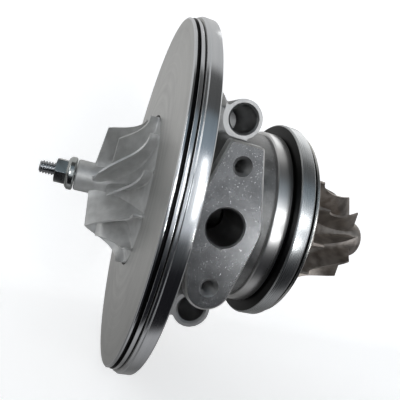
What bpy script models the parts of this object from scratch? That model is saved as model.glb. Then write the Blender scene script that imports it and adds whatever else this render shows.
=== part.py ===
# Turbocharger cartridge: the bearing housing of a turbocharger with its backplate,
# heat shield and complete rotor, ready to be clamped between the two scrolls.
# Sizes are in millimetres. The shaft lies along X with the compressor at -X, and X is
# counted from the front face of the backplate. The oil drain faces -Y, the oil inlet +Y.

import math

import bmesh
import bpy
from mathutils import Matrix, Vector

MM = 0.001

# Clearance drawn between two neighbouring pieces
GAP = 0.3

# How far a cutter stands out of the face that it cuts
OVERCUT = 1.0

# Facets round a full turn
RIM_STEPS = 36
BODY_STEPS = 28
RING_STEPS = 20
BOSS_STEPS = 16
BORE_STEPS = 12
HOLE_STEPS = 10
DRILL_STEPS = 8

# Facets of a quarter turn, for a bent sheet and for a dome
BEND_STEPS = 2
DOME_STEPS = 3

# Edges that turn by more than this stay sharp
SHARP_DEGREES = 35.0

# Backplate
PLATE_THICKNESS = 8.2
PLATE_RADIUS = 65.5
FRONT_LAND_RADIUS = 64.0
FRONT_LAND_WIDTH = 0.9
COVER_GROOVE_WIDTH = 2.0
COVER_GROOVE_DEPTH = 1.4
RIM_CHAMFER = 0.4
RIM_RIDGE = 0.5
CLAMP_LAND_INNER = 52.0
CLAMP_LAND_STEP = 0.5
SPIGOT_RADIUS = 21.3
SPIGOT_LENGTH = 4.0
RING_GROOVE_WIDTH = 2.4
RING_GROOVE_DEPTH = 2.1
RING_SECTION = 1.8
RING_SECTION_STEPS = 5
SEAL_WALL_WIDTH = 3.5
FLINGER_POCKET_MARGIN = 2.0

# Countersunk screws that hold the backplate to the housing
PLATE_SCREW_COUNT = 4
PLATE_SCREW_DIAMETER = 5.0
PLATE_SCREW_LENGTH = 17.0
PLATE_SCREW_HEAD_RADIUS = 4.0
PLATE_SCREW_SOCKET = 3.0
PLATE_SCREW_SOCKET_DEPTH = 1.6
PLATE_SCREW_LAND = 0.4

# Compressor wheel
COMPRESSOR_RADIUS = 28.4
INDUCER_RADIUS = 20.6
INDUCER_X = -16.6
INDUCER_RAKE = 1.5
SHROUD_EXIT_X = -3.2
COMPRESSOR_RIM_X = 0.1
COMPRESSOR_RIM_THICKNESS = 1.1
COMPRESSOR_RIM_GAP = 0.7
COMPRESSOR_BACK_GAP = 1.1
COMPRESSOR_NOSE_X = -24.0
COMPRESSOR_NOSE_RADIUS = 5.8
COMPRESSOR_NOSE_CHAMFER = 0.5
COMPRESSOR_BACK_RADIUS = 14.5
COMPRESSOR_BOSS_RADIUS = 8.2
COMPRESSOR_BOSS_X = 4.2
COMPRESSOR_BLADES = 6
SPLITTER_START = 0.20
COMPRESSOR_TIP_WRAP = 37.0
COMPRESSOR_HUB_WRAP = 44.0
COMPRESSOR_BLADE_ROOT = 1.7
COMPRESSOR_BLADE_TIP = 0.75
COMPRESSOR_CLOCK = -13.0

# How the lean of the hub line and of the tip line grows with the share of the way along
# them, as the factors of the share, its square and its cube. Both add up to one.
HUB_LEAN = (2.3, -2.3, 1.0)
TIP_LEAN = (1.9, -1.75, 0.85)

# Both bladed wheels
BLADE_COLUMNS = 6
BLADE_ROWS = 3
BLADE_SINK = 0.6
BLADE_TRIM = 0.1
BLADE_EDGE = 0.55

# Compressor nut
NUT_FLANGE_RADIUS = 6.2
NUT_FLANGE_THICKNESS = 3.0
NUT_HEX_FLATS = 8.5
NUT_HEX_LENGTH = 4.0
NUT_CHAMFER = 0.5
THREAD_STICK_OUT = 5.6

# Shaft
SHAFT_END_DIAMETER = 5.0
SHAFT_END_CHAMFER = 0.7
JOURNAL_DIAMETER = 6.2
SEAL_HUB_RADIUS = 8.0
SEAL_HUB_START = 53.2
SEAL_HUB_END = 58.6

# Oil flinger, thrust collar and thrust bearing
FLINGER_SEAL_RADIUS = 7.6
FLINGER_RADIUS = 9.5
FLINGER_FLANGE = 1.7
COLLAR_SLEEVE_RADIUS = 5.3
COLLAR_FLANGE = 1.8
COLLAR_RADIUS = 9.5
COLLAR_MARGIN = 1.0
COLLAR_END_GAP = 0.5
DEFLECTOR_SHEET = 0.8
DEFLECTOR_MARGIN = 0.7
THRUST_BEARING_THICKNESS = 2.8
THRUST_GROOVE_WIDTH = 1.6
THRUST_GROOVE_DEPTH = 0.5
THRUST_WINDOW_WIDTH = 14.0
THRUST_WINDOW_START = 12.0
THRUST_WINDOW_INSET = 3.3
THRUST_PIN_DIAMETER = 3.0
THRUST_PIN_INSET = 5.3
THRUST_PIN_DEPTH = 2.2

# Split seal rings
SEAL_RING_WIDTH = 1.2
SEAL_RING_DEPTH = 1.2
SEAL_RING_SPLIT = 0.6
TURBINE_RING_INSET = 2.2

# Journal bearings and their retaining rings
BEARING_LENGTH = 8.0
BEARING_WALL = 1.4
COMPRESSOR_BEARING_X = 21.3
TURBINE_BEARING_X = 40.3
BEARING_OIL_HOLE = 1.4
BEARING_OIL_HOLES = 4
CIRCLIP_THICKNESS = 1.0
CIRCLIP_BITE = 0.4
CIRCLIP_DEPTH = 1.8
CIRCLIP_OPENING = 4.4

# Bearing housing, outside
HOUSING_FLANGE_RADIUS = 45.0
HOUSING_FLANGE_END = 18.0
HOUSING_FLANGE_HALF_WIDTH = 27.0
HOUSING_EDGE = 0.5
SHOULDER_X = 20.5
SHOULDER_RADIUS = 42.0
BODY_START = 24.0
BODY_RADIUS = 33.0
NECK_START = 41.6
NECK_RADIUS = 34.3
TURBINE_FLANGE_START = 47.8
TURBINE_FLANGE_THICKNESS = 5.4
TURBINE_FLANGE_RADIUS = 38.8
FLANGE_CHAMFER = 0.4
PILOT_RADIUS = 33.0
PILOT_LENGTH = 1.3
NOSE_BASE_RADIUS = 25.5
NOSE_TIP_RADIUS = 12.2
NOSE_END = 58.4
CAST_DRAFT = 6.0

# Bearing housing, inside
BEARING_TUBE_RADIUS = 7.0
CAVITY_RADIUS = 21.0
CAVITY_START = 21.0
CAVITY_END = 46.5
TUBE_GAP_START = 32.2
TUBE_GAP_END = 36.8
TUBE_END = 51.0
SEAL_CHAMBER_RADIUS = 12.5
SEAL_CHAMBER_END = 53.6
OIL_RIB_WIDTH = 9.0

# Oil drain pad, a two-bolt flange
DRAIN_X = 22.6
DRAIN_FACE = 43.6
DRAIN_HOLE_RADIUS = 5.9
DRAIN_HOLE_OVERLAP = 1.5
DRAIN_PAD_RADIUS = 11.7
DRAIN_PAD_ROOT = 20.0
DRAIN_BOLT_SPACING = 38.0
DRAIN_END_RADIUS = 7.2
DRAIN_TOP_WIDTH = 9.0
DRAIN_TOP_REACH = 5.8
DRAIN_CORNER_RADIUS = 1.0
DRAIN_CHAMFER = 0.5
DRAIN_THREAD_RADIUS = 2.5
DRAIN_THREAD_DEPTH = 12.0
THREAD_CHAMFER = 0.5

# Oil inlet port
INLET_X = 28.0
INLET_FACE = 40.0
INLET_BOSS_RADIUS = 11.0
INLET_BOSS_ROOT = 20.0
INLET_THREAD_RADIUS = 5.2
INLET_THREAD_DEPTH = 9.0
OIL_FEED_RADIUS = 2.0
OIL_GALLERY_MARGIN = 3.5
BEARING_FEED_RADIUS = 1.0
GALLERY_PLUG_LENGTH = 3.0

# Coolant ports
COOLANT_X = 25.4
COOLANT_INSET = 10.7
COOLANT_FACE = 24.0
COOLANT_BACK = 8.0
COOLANT_BOSS_RADIUS = 6.8
COOLANT_BORE_RADIUS = 4.8
COOLANT_BORE_DEPTH = 24.0
COOLANT_LINK_RADIUS = 2.0
JACKET_START = 34.0
JACKET_END = 46.0
JACKET_INNER = 24.5
JACKET_OUTER = 29.5

# Heat shield
SHIELD_SHEET = 1.0
SHIELD_LIP_RADIUS = 37.2
SHIELD_CUP_RADIUS = 27.0
SHIELD_CUP_DEPTH = 5.9
SHIELD_CORNER = 2.4
SHIELD_HOLE_MARGIN = 1.6

# Turbine wheel
TURBINE_RADIUS = 24.3
TURBINE_BACK_X = 62.0
TURBINE_DISC_THICKNESS = 1.6
TURBINE_INLET_WIDTH = 5.2
TURBINE_EXIT_X = 86.0
TURBINE_HUB_EXIT_X = 91.0
TURBINE_EXIT_RADIUS = 18.4
TURBINE_HUB_RADIUS = 7.8
TURBINE_NOSE_END = 97.3
TURBINE_NOSE_ROUND = 4.0
TURBINE_BOSS_RADIUS = 8.2
TURBINE_BLADES = 11
TURBINE_WRAP = 16.2
TURBINE_WRAP_POWER = 4
TURBINE_FACETS_PER_BLADE = 3
TURBINE_BLADE_ROOT = 2.0
TURBINE_BLADE_TIP = 1.0
TURBINE_SCALLOP_RADIUS = 4.2
TURBINE_SCALLOP_OFFSET = 1.0
TURBINE_CLOCK = 4.3

# The two ends of what lies on both sides of the shaft
SIDES = ((-1, "lower"), (1, "upper"))

# Radii that follow from their neighbours
shaft_end_radius = SHAFT_END_DIAMETER / 2
journal_radius = JOURNAL_DIAMETER / 2
rotor_bore = shaft_end_radius + GAP
bearing_inner = journal_radius + GAP
bearing_outer = bearing_inner + BEARING_WALL
bearing_bore_radius = bearing_outer + GAP
circlip_radius = bearing_bore_radius + CIRCLIP_BITE
pocket_radius = SPIGOT_RADIUS + GAP
ring_groove_bottom = SPIGOT_RADIUS - RING_GROOVE_DEPTH
recess_radius = COMPRESSOR_RADIUS + COMPRESSOR_RIM_GAP
flinger_bore = FLINGER_SEAL_RADIUS + 2 * GAP
flinger_pocket = FLINGER_RADIUS + FLINGER_POCKET_MARGIN
turbine_seal_bore = SEAL_HUB_RADIUS + 2 * GAP
plate_screw_circle = (pocket_radius + recess_radius) / 2
thrust_pin_circle = SPIGOT_RADIUS - THRUST_PIN_INSET
collar_pocket = COLLAR_RADIUS + COLLAR_MARGIN
oil_gallery_height = collar_pocket + OIL_GALLERY_MARGIN
coolant_offset = HOUSING_FLANGE_RADIUS - COOLANT_INSET
shield_hole = TURBINE_BOSS_RADIUS + SHIELD_HOLE_MARGIN

# Places along the shaft that follow from the sizes above
rim_back = COMPRESSOR_RIM_X + COMPRESSOR_RIM_THICKNESS
recess_floor = rim_back + COMPRESSOR_BACK_GAP
plate_seat = PLATE_THICKNESS - CLAMP_LAND_STEP
spigot_end = plate_seat + SPIGOT_LENGTH
ring_groove_start = plate_seat + (SPIGOT_LENGTH - RING_GROOVE_WIDTH) / 2
housing_front = plate_seat + GAP
seal_wall_start = COMPRESSOR_BOSS_X + COMPRESSOR_BACK_GAP
seal_wall_end = seal_wall_start + SEAL_WALL_WIDTH
deflector_start = spigot_end + GAP
deflector_end = deflector_start + DEFLECTOR_SHEET
thrust_start = deflector_end + GAP
thrust_end = thrust_start + THRUST_BEARING_THICKNESS
pocket_floor = thrust_end + GAP
collar_end = pocket_floor + COLLAR_FLANGE
shaft_shoulder = collar_end + GAP
flinger_start = COMPRESSOR_BOSS_X + GAP
flinger_end = thrust_start - GAP
nut_end = COMPRESSOR_NOSE_X - GAP
nut_flange_start = nut_end - NUT_FLANGE_THICKNESS
nut_start = nut_flange_start - NUT_HEX_LENGTH
shaft_tip = nut_start - THREAD_STICK_OUT
turbine_flange_end = TURBINE_FLANGE_START + TURBINE_FLANGE_THICKNESS
pilot_end = turbine_flange_end + PILOT_LENGTH
shield_front = pilot_end + GAP
turbine_boss_start = SEAL_HUB_END + GAP
turbine_disc_end = TURBINE_BACK_X + TURBINE_DISC_THICKNESS
turbine_inlet_end = turbine_disc_end + TURBINE_INLET_WIDTH
compressor_ring_start = (seal_wall_start + seal_wall_end - SEAL_RING_WIDTH) / 2
turbine_ring_start = SEAL_HUB_START + TURBINE_RING_INSET
plate_screw_start = recess_floor + GAP

COLOURS = {
    "turned_steel": ((0.62, 0.62, 0.61), 0.25, 1.0),
    "cast_iron": ((0.16, 0.16, 0.16), 0.55, 0.8),
    "cast_aluminium": ((0.48, 0.47, 0.46), 0.45, 0.9),
    "turbine_alloy": ((0.33, 0.30, 0.27), 0.5, 0.9),
    "ground_steel": ((0.55, 0.56, 0.58), 0.2, 1.0),
    "dark_steel": ((0.20, 0.21, 0.22), 0.35, 1.0),
    "stamped_sheet": ((0.50, 0.49, 0.47), 0.35, 1.0),
    "bronze": ((0.55, 0.38, 0.18), 0.35, 1.0),
    "rubber": ((0.03, 0.03, 0.03), 0.7, 0.0),
}


def material(name):
    found = bpy.data.materials.get(name)
    if found:
        return found
    colour, roughness, metallic = COLOURS[name]
    made = bpy.data.materials.new(name)
    made.use_nodes = True
    shader = made.node_tree.nodes["Principled BSDF"]
    shader.inputs["Base Color"].default_value = (*colour, 1.0)
    shader.inputs["Roughness"].default_value = roughness
    shader.inputs["Metallic"].default_value = metallic
    made.diffuse_color = (*colour, 1.0)
    return made


def collection(name):
    made = bpy.data.collections.new(name)
    bpy.context.scene.collection.children.link(made)
    return made


def place(mesh, name, finish=None):
    # With a finish the object is a piece of the cartridge, without one it is a cutter
    # or a shape that is joined to a piece
    piece = bpy.data.objects.new(name, mesh)
    if finish:
        mesh.materials.append(material(finish))
        bpy.data.collections["turbo_cartridge"].objects.link(piece)
    else:
        bpy.data.collections["cutters"].objects.link(piece)
        piece.hide_render = True
        piece.display_type = "WIRE"
    return piece


def turned(name, outline, steps, finish=None, base=(0, 0, 0), axis=(1, 0, 0)):
    # The outline is (distance along the axis from the base, radius). It runs forward
    # along the outer side and back along the bore, and is closed unless it starts and
    # ends on the axis.
    points = [Vector((radius * MM, 0, along * MM)) for along, radius in reversed(outline)]
    edges = [(i, i + 1) for i in range(len(points) - 1)]
    if outline[0][1] > 0:
        edges.append((len(points) - 1, 0))
    mesh = bpy.data.meshes.new(name)
    mesh.from_pydata(points, edges, [])
    piece = place(mesh, name, finish)
    piece.location = Vector(base) * MM
    piece.rotation_euler = Vector((0, 0, 1)).rotation_difference(Vector(axis)).to_euler()
    screw = piece.modifiers.new("turn", "SCREW")
    screw.steps = steps
    screw.render_steps = steps
    screw.use_merge_vertices = True
    screw.merge_threshold = 0.000001
    screw.use_smooth_shade = False
    return piece


def cylinder(bm, base, axis, length, radius, steps, end_radius=None):
    # A cylinder or cone that starts at the base and runs along the axis
    turn = Vector((0, 0, 1)).rotation_difference(Vector(axis)).to_matrix().to_4x4()
    middle = Vector(base) + Vector(axis) * length / 2
    bmesh.ops.create_cone(
        bm, cap_ends=True, segments=steps,
        radius1=radius * MM,
        radius2=(radius if end_radius is None else end_radius) * MM,
        depth=length * MM,
        matrix=Matrix.Translation(middle * MM) @ turn)


def box(bm, low, high):
    low, high = Vector(low), Vector(high)
    size = Matrix.Diagonal((*((high - low) * MM), 1))
    bmesh.ops.create_cube(bm, size=1, matrix=Matrix.Translation((low + high) / 2 * MM) @ size)


def finished(bm, name, finish=None):
    mesh = bpy.data.meshes.new(name)
    bmesh.ops.recalc_face_normals(bm, faces=bm.faces)
    bm.to_mesh(mesh)
    bm.free()
    return place(mesh, name, finish)


def combine(target, tool, operation, solver="EXACT"):
    step = target.modifiers.new(tool.name, "BOOLEAN")
    step.operation = operation
    step.solver = solver
    step.object = tool


def cut(target, tool, solver="EXACT"):
    combine(target, tool, "DIFFERENCE", solver)


def join(target, tool, solver="EXACT"):
    combine(target, tool, "UNION", solver)


def polar(x, radius, angle):
    # Angle 0 points to -Y, and a growing angle turns towards -Z
    return Vector((x, -radius * math.cos(angle), -radius * math.sin(angle)))


def quarter(start, end, radial, count):
    # Points of a quarter ellipse that leaves its start along the shaft, or where it is
    # radial straight towards or away from the shaft
    points = []
    for i in range(count + 1):
        turn = math.pi / 2 * i / count
        along, across = math.sin(turn), 1 - math.cos(turn)
        if radial:
            along, across = across, along
        points.append((start[0] + (end[0] - start[0]) * along,
                       start[1] + (end[1] - start[1]) * across))
    return points


def smoothed(piece):
    # Shades the piece smooth as far as its edges turn little, after all its other steps
    group = bpy.data.node_groups.get("shade_by_angle") or shade_by_angle()
    piece.modifiers.new("shading", "NODES").node_group = group


def shade_by_angle():
    group = bpy.data.node_groups.new("shade_by_angle", "GeometryNodeTree")
    group.interface.new_socket("Geometry", in_out="INPUT", socket_type="NodeSocketGeometry")
    group.interface.new_socket("Geometry", in_out="OUTPUT", socket_type="NodeSocketGeometry")
    entry = group.nodes.new("NodeGroupInput")
    leave = group.nodes.new("NodeGroupOutput")
    angle = group.nodes.new("GeometryNodeInputMeshEdgeAngle")
    limit = group.nodes.new("ShaderNodeMath")
    limit.operation = "LESS_THAN"
    limit.inputs[1].default_value = math.radians(SHARP_DEGREES)
    faces = group.nodes.new("GeometryNodeSetShadeSmooth")
    edges = group.nodes.new("GeometryNodeSetShadeSmooth")
    edges.domain = "EDGE"
    for source, target in (
            (entry.outputs[0], faces.inputs["Geometry"]),
            (faces.outputs[0], edges.inputs["Geometry"]),
            (angle.outputs["Unsigned Angle"], limit.inputs[0]),
            (limit.outputs[0], edges.inputs["Shade Smooth"]),
            (edges.outputs[0], leave.inputs[0])):
        group.links.new(source, target)
    return group


def split_ring(name, x, width, outer, depth, opening, finish):
    # A ring whose ends leave an opening on its +Y side
    ring = turned(name, [(x, outer), (x + width, outer), (x + width, outer - depth),
                         (x, outer - depth)], BORE_STEPS, finish)
    bm = bmesh.new()
    box(bm, (x - OVERCUT, 0, -opening / 2), (x + width + OVERCUT, outer + OVERCUT, opening / 2))
    cut(ring, finished(bm, name + "_gap"))


def blade(bm, hub, tip, wraps, thicknesses, sink, start=0.0):
    # A blade lofted between a hub line and a tip line of as many points. The two wraps
    # give the turn about the shaft, in radians, for a share of the way along the hub and
    # along the tip. The root row is sunk into the hub, by the sink along the shaft.
    columns = len(hub)
    camber = []
    for i in range(round(start * (columns - 1)), columns):
        share = i / (columns - 1)
        line = []
        for j in range(BLADE_ROWS + 1):
            span = j / BLADE_ROWS
            x = hub[i][0] + (tip[i][0] - hub[i][0]) * span
            radius = hub[i][1] + (tip[i][1] - hub[i][1]) * span
            if j == 0:
                x += sink
                radius -= BLADE_SINK
            line.append(polar(x, radius, wraps[0](share) * (1 - span) + wraps[1](share) * span))
        camber.append(line)
    last = len(camber) - 1
    upper, lower = [], []
    for i, line in enumerate(camber):
        edge = BLADE_EDGE if i in (0, last) else 1.0
        for j, point in enumerate(line):
            along = camber[min(i + 1, last)][j] - camber[max(i - 1, 0)][j]
            across = line[min(j + 1, BLADE_ROWS)] - line[max(j - 1, 0)]
            normal = along.cross(across).normalized()
            span = j / BLADE_ROWS
            half = (thicknesses[0] * (1 - span) + thicknesses[1] * span) * edge / 2
            upper.append(bm.verts.new((point + normal * half) * MM))
            lower.append(bm.verts.new((point - normal * half) * MM))

    def spot(i, j):
        return i * (BLADE_ROWS + 1) + j

    for i in range(last):
        for j in range(BLADE_ROWS):
            ring = (spot(i, j), spot(i, j + 1), spot(i + 1, j + 1), spot(i + 1, j))
            bm.faces.new([upper[k] for k in ring])
            bm.faces.new([lower[k] for k in reversed(ring)])
    border = [spot(i, 0) for i in range(last)]
    border += [spot(last, j) for j in range(BLADE_ROWS)]
    border += [spot(i, BLADE_ROWS) for i in range(last, 0, -1)]
    border += [spot(0, j) for j in range(BLADE_ROWS, 0, -1)]
    for a, b in zip(border, border[1:] + border[:1]):
        bm.faces.new((upper[a], upper[b], lower[b], lower[a]))


def clocked(hub_wrap, tip_wrap, clock):
    return lambda share: hub_wrap(share) + clock, lambda share: tip_wrap(share) + clock


def leaned(factors, share):
    return sum(factor * share ** (i + 1) for i, factor in enumerate(factors))


def plate_screw_spots():
    turns = [math.tau * (i + 0.5) / PLATE_SCREW_COUNT for i in range(PLATE_SCREW_COUNT)]
    return [polar(0, plate_screw_circle, turn).yz for turn in turns]


def backplate():
    groove_end = FRONT_LAND_WIDTH + COVER_GROOVE_WIDTH
    groove_radius = FRONT_LAND_RADIUS - COVER_GROOVE_DEPTH
    plate = turned("compressor_backplate", [
        (0, recess_radius),
        (0, FRONT_LAND_RADIUS - RIM_CHAMFER),
        (RIM_CHAMFER, FRONT_LAND_RADIUS),
        (FRONT_LAND_WIDTH, FRONT_LAND_RADIUS),
        (FRONT_LAND_WIDTH, groove_radius),
        (groove_end, groove_radius),
        (groove_end, PLATE_RADIUS - RIM_RIDGE),
        (groove_end + RIM_RIDGE, PLATE_RADIUS),
        (PLATE_THICKNESS - RIM_CHAMFER, PLATE_RADIUS),
        (PLATE_THICKNESS, PLATE_RADIUS - RIM_CHAMFER),
        (PLATE_THICKNESS, CLAMP_LAND_INNER),
        (plate_seat, CLAMP_LAND_INNER),
        (plate_seat, SPIGOT_RADIUS),
        (ring_groove_start, SPIGOT_RADIUS),
        (ring_groove_start, ring_groove_bottom),
        (ring_groove_start + RING_GROOVE_WIDTH, ring_groove_bottom),
        (ring_groove_start + RING_GROOVE_WIDTH, SPIGOT_RADIUS),
        (spigot_end, SPIGOT_RADIUS),
        (spigot_end, flinger_pocket),
        (seal_wall_end, flinger_pocket),
        (seal_wall_end, flinger_bore),
        (seal_wall_start, flinger_bore),
        (seal_wall_start, COMPRESSOR_BOSS_RADIUS + COMPRESSOR_BACK_GAP),
        (recess_floor, COMPRESSOR_BACK_RADIUS),
        (recess_floor, recess_radius),
    ], RIM_STEPS, "turned_steel")
    for i, spot in enumerate(plate_screw_spots()):
        cut(plate, turned(f"plate_screw_hole_{i + 1}", screw_outline(GAP, OVERCUT + GAP),
                          HOLE_STEPS, base=(plate_screw_start, *spot)))


def screw_outline(clearance, start):
    # A countersunk screw from the face of its head, or with a clearance its hole, which
    # starts before the head
    head = PLATE_SCREW_HEAD_RADIUS + clearance
    shank = PLATE_SCREW_DIAMETER / 2 + clearance
    return [(-start, 0), (-start, head), (PLATE_SCREW_LAND, head),
            (PLATE_SCREW_LAND + head - shank, shank), (PLATE_SCREW_LENGTH, shank),
            (PLATE_SCREW_LENGTH, 0)]


def backplate_screws():
    bm = bmesh.new()
    for spot in plate_screw_spots():
        cylinder(bm, (plate_screw_start - OVERCUT, *spot), (1, 0, 0),
                 OVERCUT + PLATE_SCREW_SOCKET_DEPTH, PLATE_SCREW_SOCKET / math.sqrt(3), 6)
    sockets = finished(bm, "plate_screw_sockets")
    for i, spot in enumerate(plate_screw_spots()):
        screw = turned(f"backplate_screw_{i + 1}", screw_outline(0, 0), HOLE_STEPS,
                       "dark_steel", base=(plate_screw_start, *spot))
        cut(screw, sockets)


def backplate_ring():
    x = ring_groove_start + RING_GROOVE_WIDTH / 2
    radius = (ring_groove_bottom + pocket_radius) / 2
    turns = [math.tau * i / RING_SECTION_STEPS for i in range(RING_SECTION_STEPS)]
    turned("backplate_o_ring", [
        (x - RING_SECTION / 2 * math.cos(turn), radius + RING_SECTION / 2 * math.sin(turn))
        for turn in turns], BOSS_STEPS, "rubber")


def housing():
    body = turned("bearing_housing", [
        (housing_front, 0),
        (housing_front, HOUSING_FLANGE_RADIUS - HOUSING_EDGE),
        (housing_front + HOUSING_EDGE, HOUSING_FLANGE_RADIUS),
        (HOUSING_FLANGE_END, HOUSING_FLANGE_RADIUS),
        (SHOULDER_X, SHOULDER_RADIUS),
        (BODY_START, BODY_RADIUS),
        (NECK_START, BODY_RADIUS),
        (NECK_START, NECK_RADIUS),
        (TURBINE_FLANGE_START, NECK_RADIUS),
        (TURBINE_FLANGE_START, TURBINE_FLANGE_RADIUS - FLANGE_CHAMFER),
        (TURBINE_FLANGE_START + FLANGE_CHAMFER, TURBINE_FLANGE_RADIUS),
        (turbine_flange_end - FLANGE_CHAMFER, TURBINE_FLANGE_RADIUS),
        (turbine_flange_end, TURBINE_FLANGE_RADIUS - FLANGE_CHAMFER),
        (turbine_flange_end, PILOT_RADIUS),
        (pilot_end, PILOT_RADIUS),
        (pilot_end, NOSE_BASE_RADIUS),
        (NOSE_END, NOSE_TIP_RADIUS),
        (NOSE_END, 0),
    ], BODY_STEPS, "cast_iron")
    added = [drain_pad(), inlet_boss()]
    added += [coolant_boss(side, name) for side, name in SIDES]
    taken = [oil_cavity(), thrust_pocket(), bearing_bore()]
    taken += drain_holes() + oil_feed() + coolant_passages() + front_face_holes()
    # The exact solver leaves open edges where this many cuts meet the same flat faces
    cut(body, housing_flats(), "MANIFOLD")
    for shape in added:
        join(body, shape, "MANIFOLD")
    for shape in taken:
        cut(body, shape, "MANIFOLD")


def housing_flats():
    # Two flats on the front flange leave an ear above and one below
    reach = HOUSING_FLANGE_RADIUS + OVERCUT
    bm = bmesh.new()
    for low, high in ((-reach, -HOUSING_FLANGE_HALF_WIDTH), (HOUSING_FLANGE_HALF_WIDTH, reach)):
        box(bm, (housing_front - OVERCUT, low, -reach), (BODY_START, high, reach))
    return finished(bm, "housing_flats")


def drain_pad():
    # The hull of round columns that widen with the casting draft: a barrel round the
    # hole, a round lower end and two small corners at the upper end
    depth = DRAIN_FACE - DRAIN_PAD_ROOT
    draft = depth * math.tan(math.radians(CAST_DRAFT))
    bolt = DRAIN_BOLT_SPACING / 2
    corner = bolt + DRAIN_TOP_REACH
    columns = [(0, 0, DRAIN_PAD_RADIUS, RING_STEPS), (0, -bolt, DRAIN_END_RADIUS, BOSS_STEPS)]
    columns += [(x, corner, DRAIN_CORNER_RADIUS, DRILL_STEPS)
                for x in (-DRAIN_TOP_WIDTH / 2, DRAIN_TOP_WIDTH / 2)]
    bm = bmesh.new()
    for x, z, radius, steps in columns:
        cylinder(bm, (DRAIN_X + x, -DRAIN_FACE, z), (0, 1, 0), depth, radius, steps,
                 radius + draft)
    bmesh.ops.delete(bm, geom=bm.edges[:], context="EDGES_FACES")
    bmesh.ops.convex_hull(bm, input=bm.verts[:])
    bmesh.ops.delete(bm, geom=[vert for vert in bm.verts if not vert.link_faces],
                     context="VERTS")
    bmesh.ops.dissolve_limit(bm, angle_limit=math.radians(1), verts=bm.verts[:],
                             edges=bm.edges[:])
    pad = finished(bm, "drain_pad")
    bevel = pad.modifiers.new("rim", "BEVEL")
    bevel.width = DRAIN_CHAMFER * MM
    bevel.segments = 1
    bevel.limit_method = "ANGLE"
    bevel.angle_limit = math.radians(60)
    return pad


def inlet_boss():
    depth = INLET_FACE - INLET_BOSS_ROOT
    draft = depth * math.tan(math.radians(CAST_DRAFT))
    return turned("inlet_boss", [
        (0, 0), (0, INLET_BOSS_RADIUS - DRAIN_CHAMFER), (DRAIN_CHAMFER, INLET_BOSS_RADIUS),
        (depth, INLET_BOSS_RADIUS + draft), (depth, 0),
    ], BOSS_STEPS, base=(INLET_X, INLET_FACE, 0), axis=(0, -1, 0))


def coolant_boss(side, name):
    # A barrel with a domed back end
    radius = COOLANT_BOSS_RADIUS
    barrel = COOLANT_FACE + COOLANT_BACK - radius
    dome = quarter((barrel, radius), (barrel + radius, 0), False, DOME_STEPS)
    return turned(f"{name}_coolant_boss", [
        (0, 0), (0, radius - DRAIN_CHAMFER), (DRAIN_CHAMFER, radius), *dome,
    ], BOSS_STEPS, base=(COOLANT_X, -COOLANT_FACE, side * coolant_offset), axis=(0, 1, 0))


def oil_cavity():
    # The oil space round the bearing tubes, with the rib left in that feeds them
    cavity = turned("oil_cavity", [
        (CAVITY_START, CAVITY_RADIUS),
        (CAVITY_END, CAVITY_RADIUS),
        (SEAL_CHAMBER_END, SEAL_CHAMBER_RADIUS),
        (SEAL_CHAMBER_END, bearing_outer),
        (TUBE_END, bearing_outer),
        (TUBE_END, BEARING_TUBE_RADIUS),
        (CAVITY_START, BEARING_TUBE_RADIUS),
    ], RING_STEPS)
    bm = bmesh.new()
    box(bm, (CAVITY_START - OVERCUT, 0, -OIL_RIB_WIDTH / 2),
        (TUBE_END, CAVITY_RADIUS + OVERCUT, OIL_RIB_WIDTH / 2))
    cut(cavity, finished(bm, "oil_rib"))
    return cavity


def thrust_pocket():
    return turned("thrust_pocket", [
        (housing_front - OVERCUT, 0),
        (housing_front - OVERCUT, pocket_radius),
        (pocket_floor, pocket_radius),
        (pocket_floor, collar_pocket),
        (collar_end + COLLAR_END_GAP, collar_pocket),
        (collar_end + COLLAR_END_GAP, 0),
    ], BODY_STEPS)


def circlip_starts(bearing_start):
    return (bearing_start - GAP - CIRCLIP_THICKNESS, bearing_start + BEARING_LENGTH + GAP)


def bearing_bore():
    # One bore for both bearings, with a groove for each circlip and the gap between the
    # two tubes, then the narrower bore of the turbine seal
    steps = []
    for bearing_start in (COMPRESSOR_BEARING_X, TURBINE_BEARING_X):
        for start in circlip_starts(bearing_start):
            steps.append((start - GAP, start + CIRCLIP_THICKNESS + GAP, circlip_radius + GAP))
    steps.append((TUBE_GAP_START, TUBE_GAP_END, BEARING_TUBE_RADIUS + GAP))
    outline = [(pocket_floor, 0), (pocket_floor, bearing_bore_radius)]
    for start, end, radius in sorted(steps):
        outline += [(start, bearing_bore_radius), (start, radius), (end, radius),
                    (end, bearing_bore_radius)]
    outline += [(TUBE_END + OVERCUT, bearing_bore_radius),
                (TUBE_END + OVERCUT, turbine_seal_bore),
                (NOSE_END + OVERCUT, turbine_seal_bore),
                (NOSE_END + OVERCUT, 0)]
    return turned("bearing_bore", outline, BORE_STEPS)


def threaded_hole(name, base, axis, radius, depth):
    # Drilled to the depth, with a chamfered mouth and the cone that a drill leaves
    mouth = radius + THREAD_CHAMFER
    return turned(name, [
        (-OVERCUT, 0), (-OVERCUT, mouth), (0, mouth), (THREAD_CHAMFER, radius),
        (depth, radius), (depth + radius / 2, 0),
    ], HOLE_STEPS, base=base, axis=axis)


def drain_holes():
    mouth = DRAIN_HOLE_RADIUS + DRAIN_CHAMFER
    depth = DRAIN_FACE - CAVITY_RADIUS + DRAIN_HOLE_OVERLAP
    holes = [turned("drain_hole", [
        (-OVERCUT, 0), (-OVERCUT, mouth), (0, mouth), (DRAIN_CHAMFER, DRAIN_HOLE_RADIUS),
        (depth, DRAIN_HOLE_RADIUS), (depth, 0),
    ], RING_STEPS, base=(DRAIN_X, -DRAIN_FACE, 0), axis=(0, 1, 0))]
    for side, name in SIDES:
        holes.append(threaded_hole(
            f"{name}_drain_thread", (DRAIN_X, -DRAIN_FACE, side * DRAIN_BOLT_SPACING / 2),
            (0, 1, 0), DRAIN_THREAD_RADIUS, DRAIN_THREAD_DEPTH))
    return holes


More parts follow.
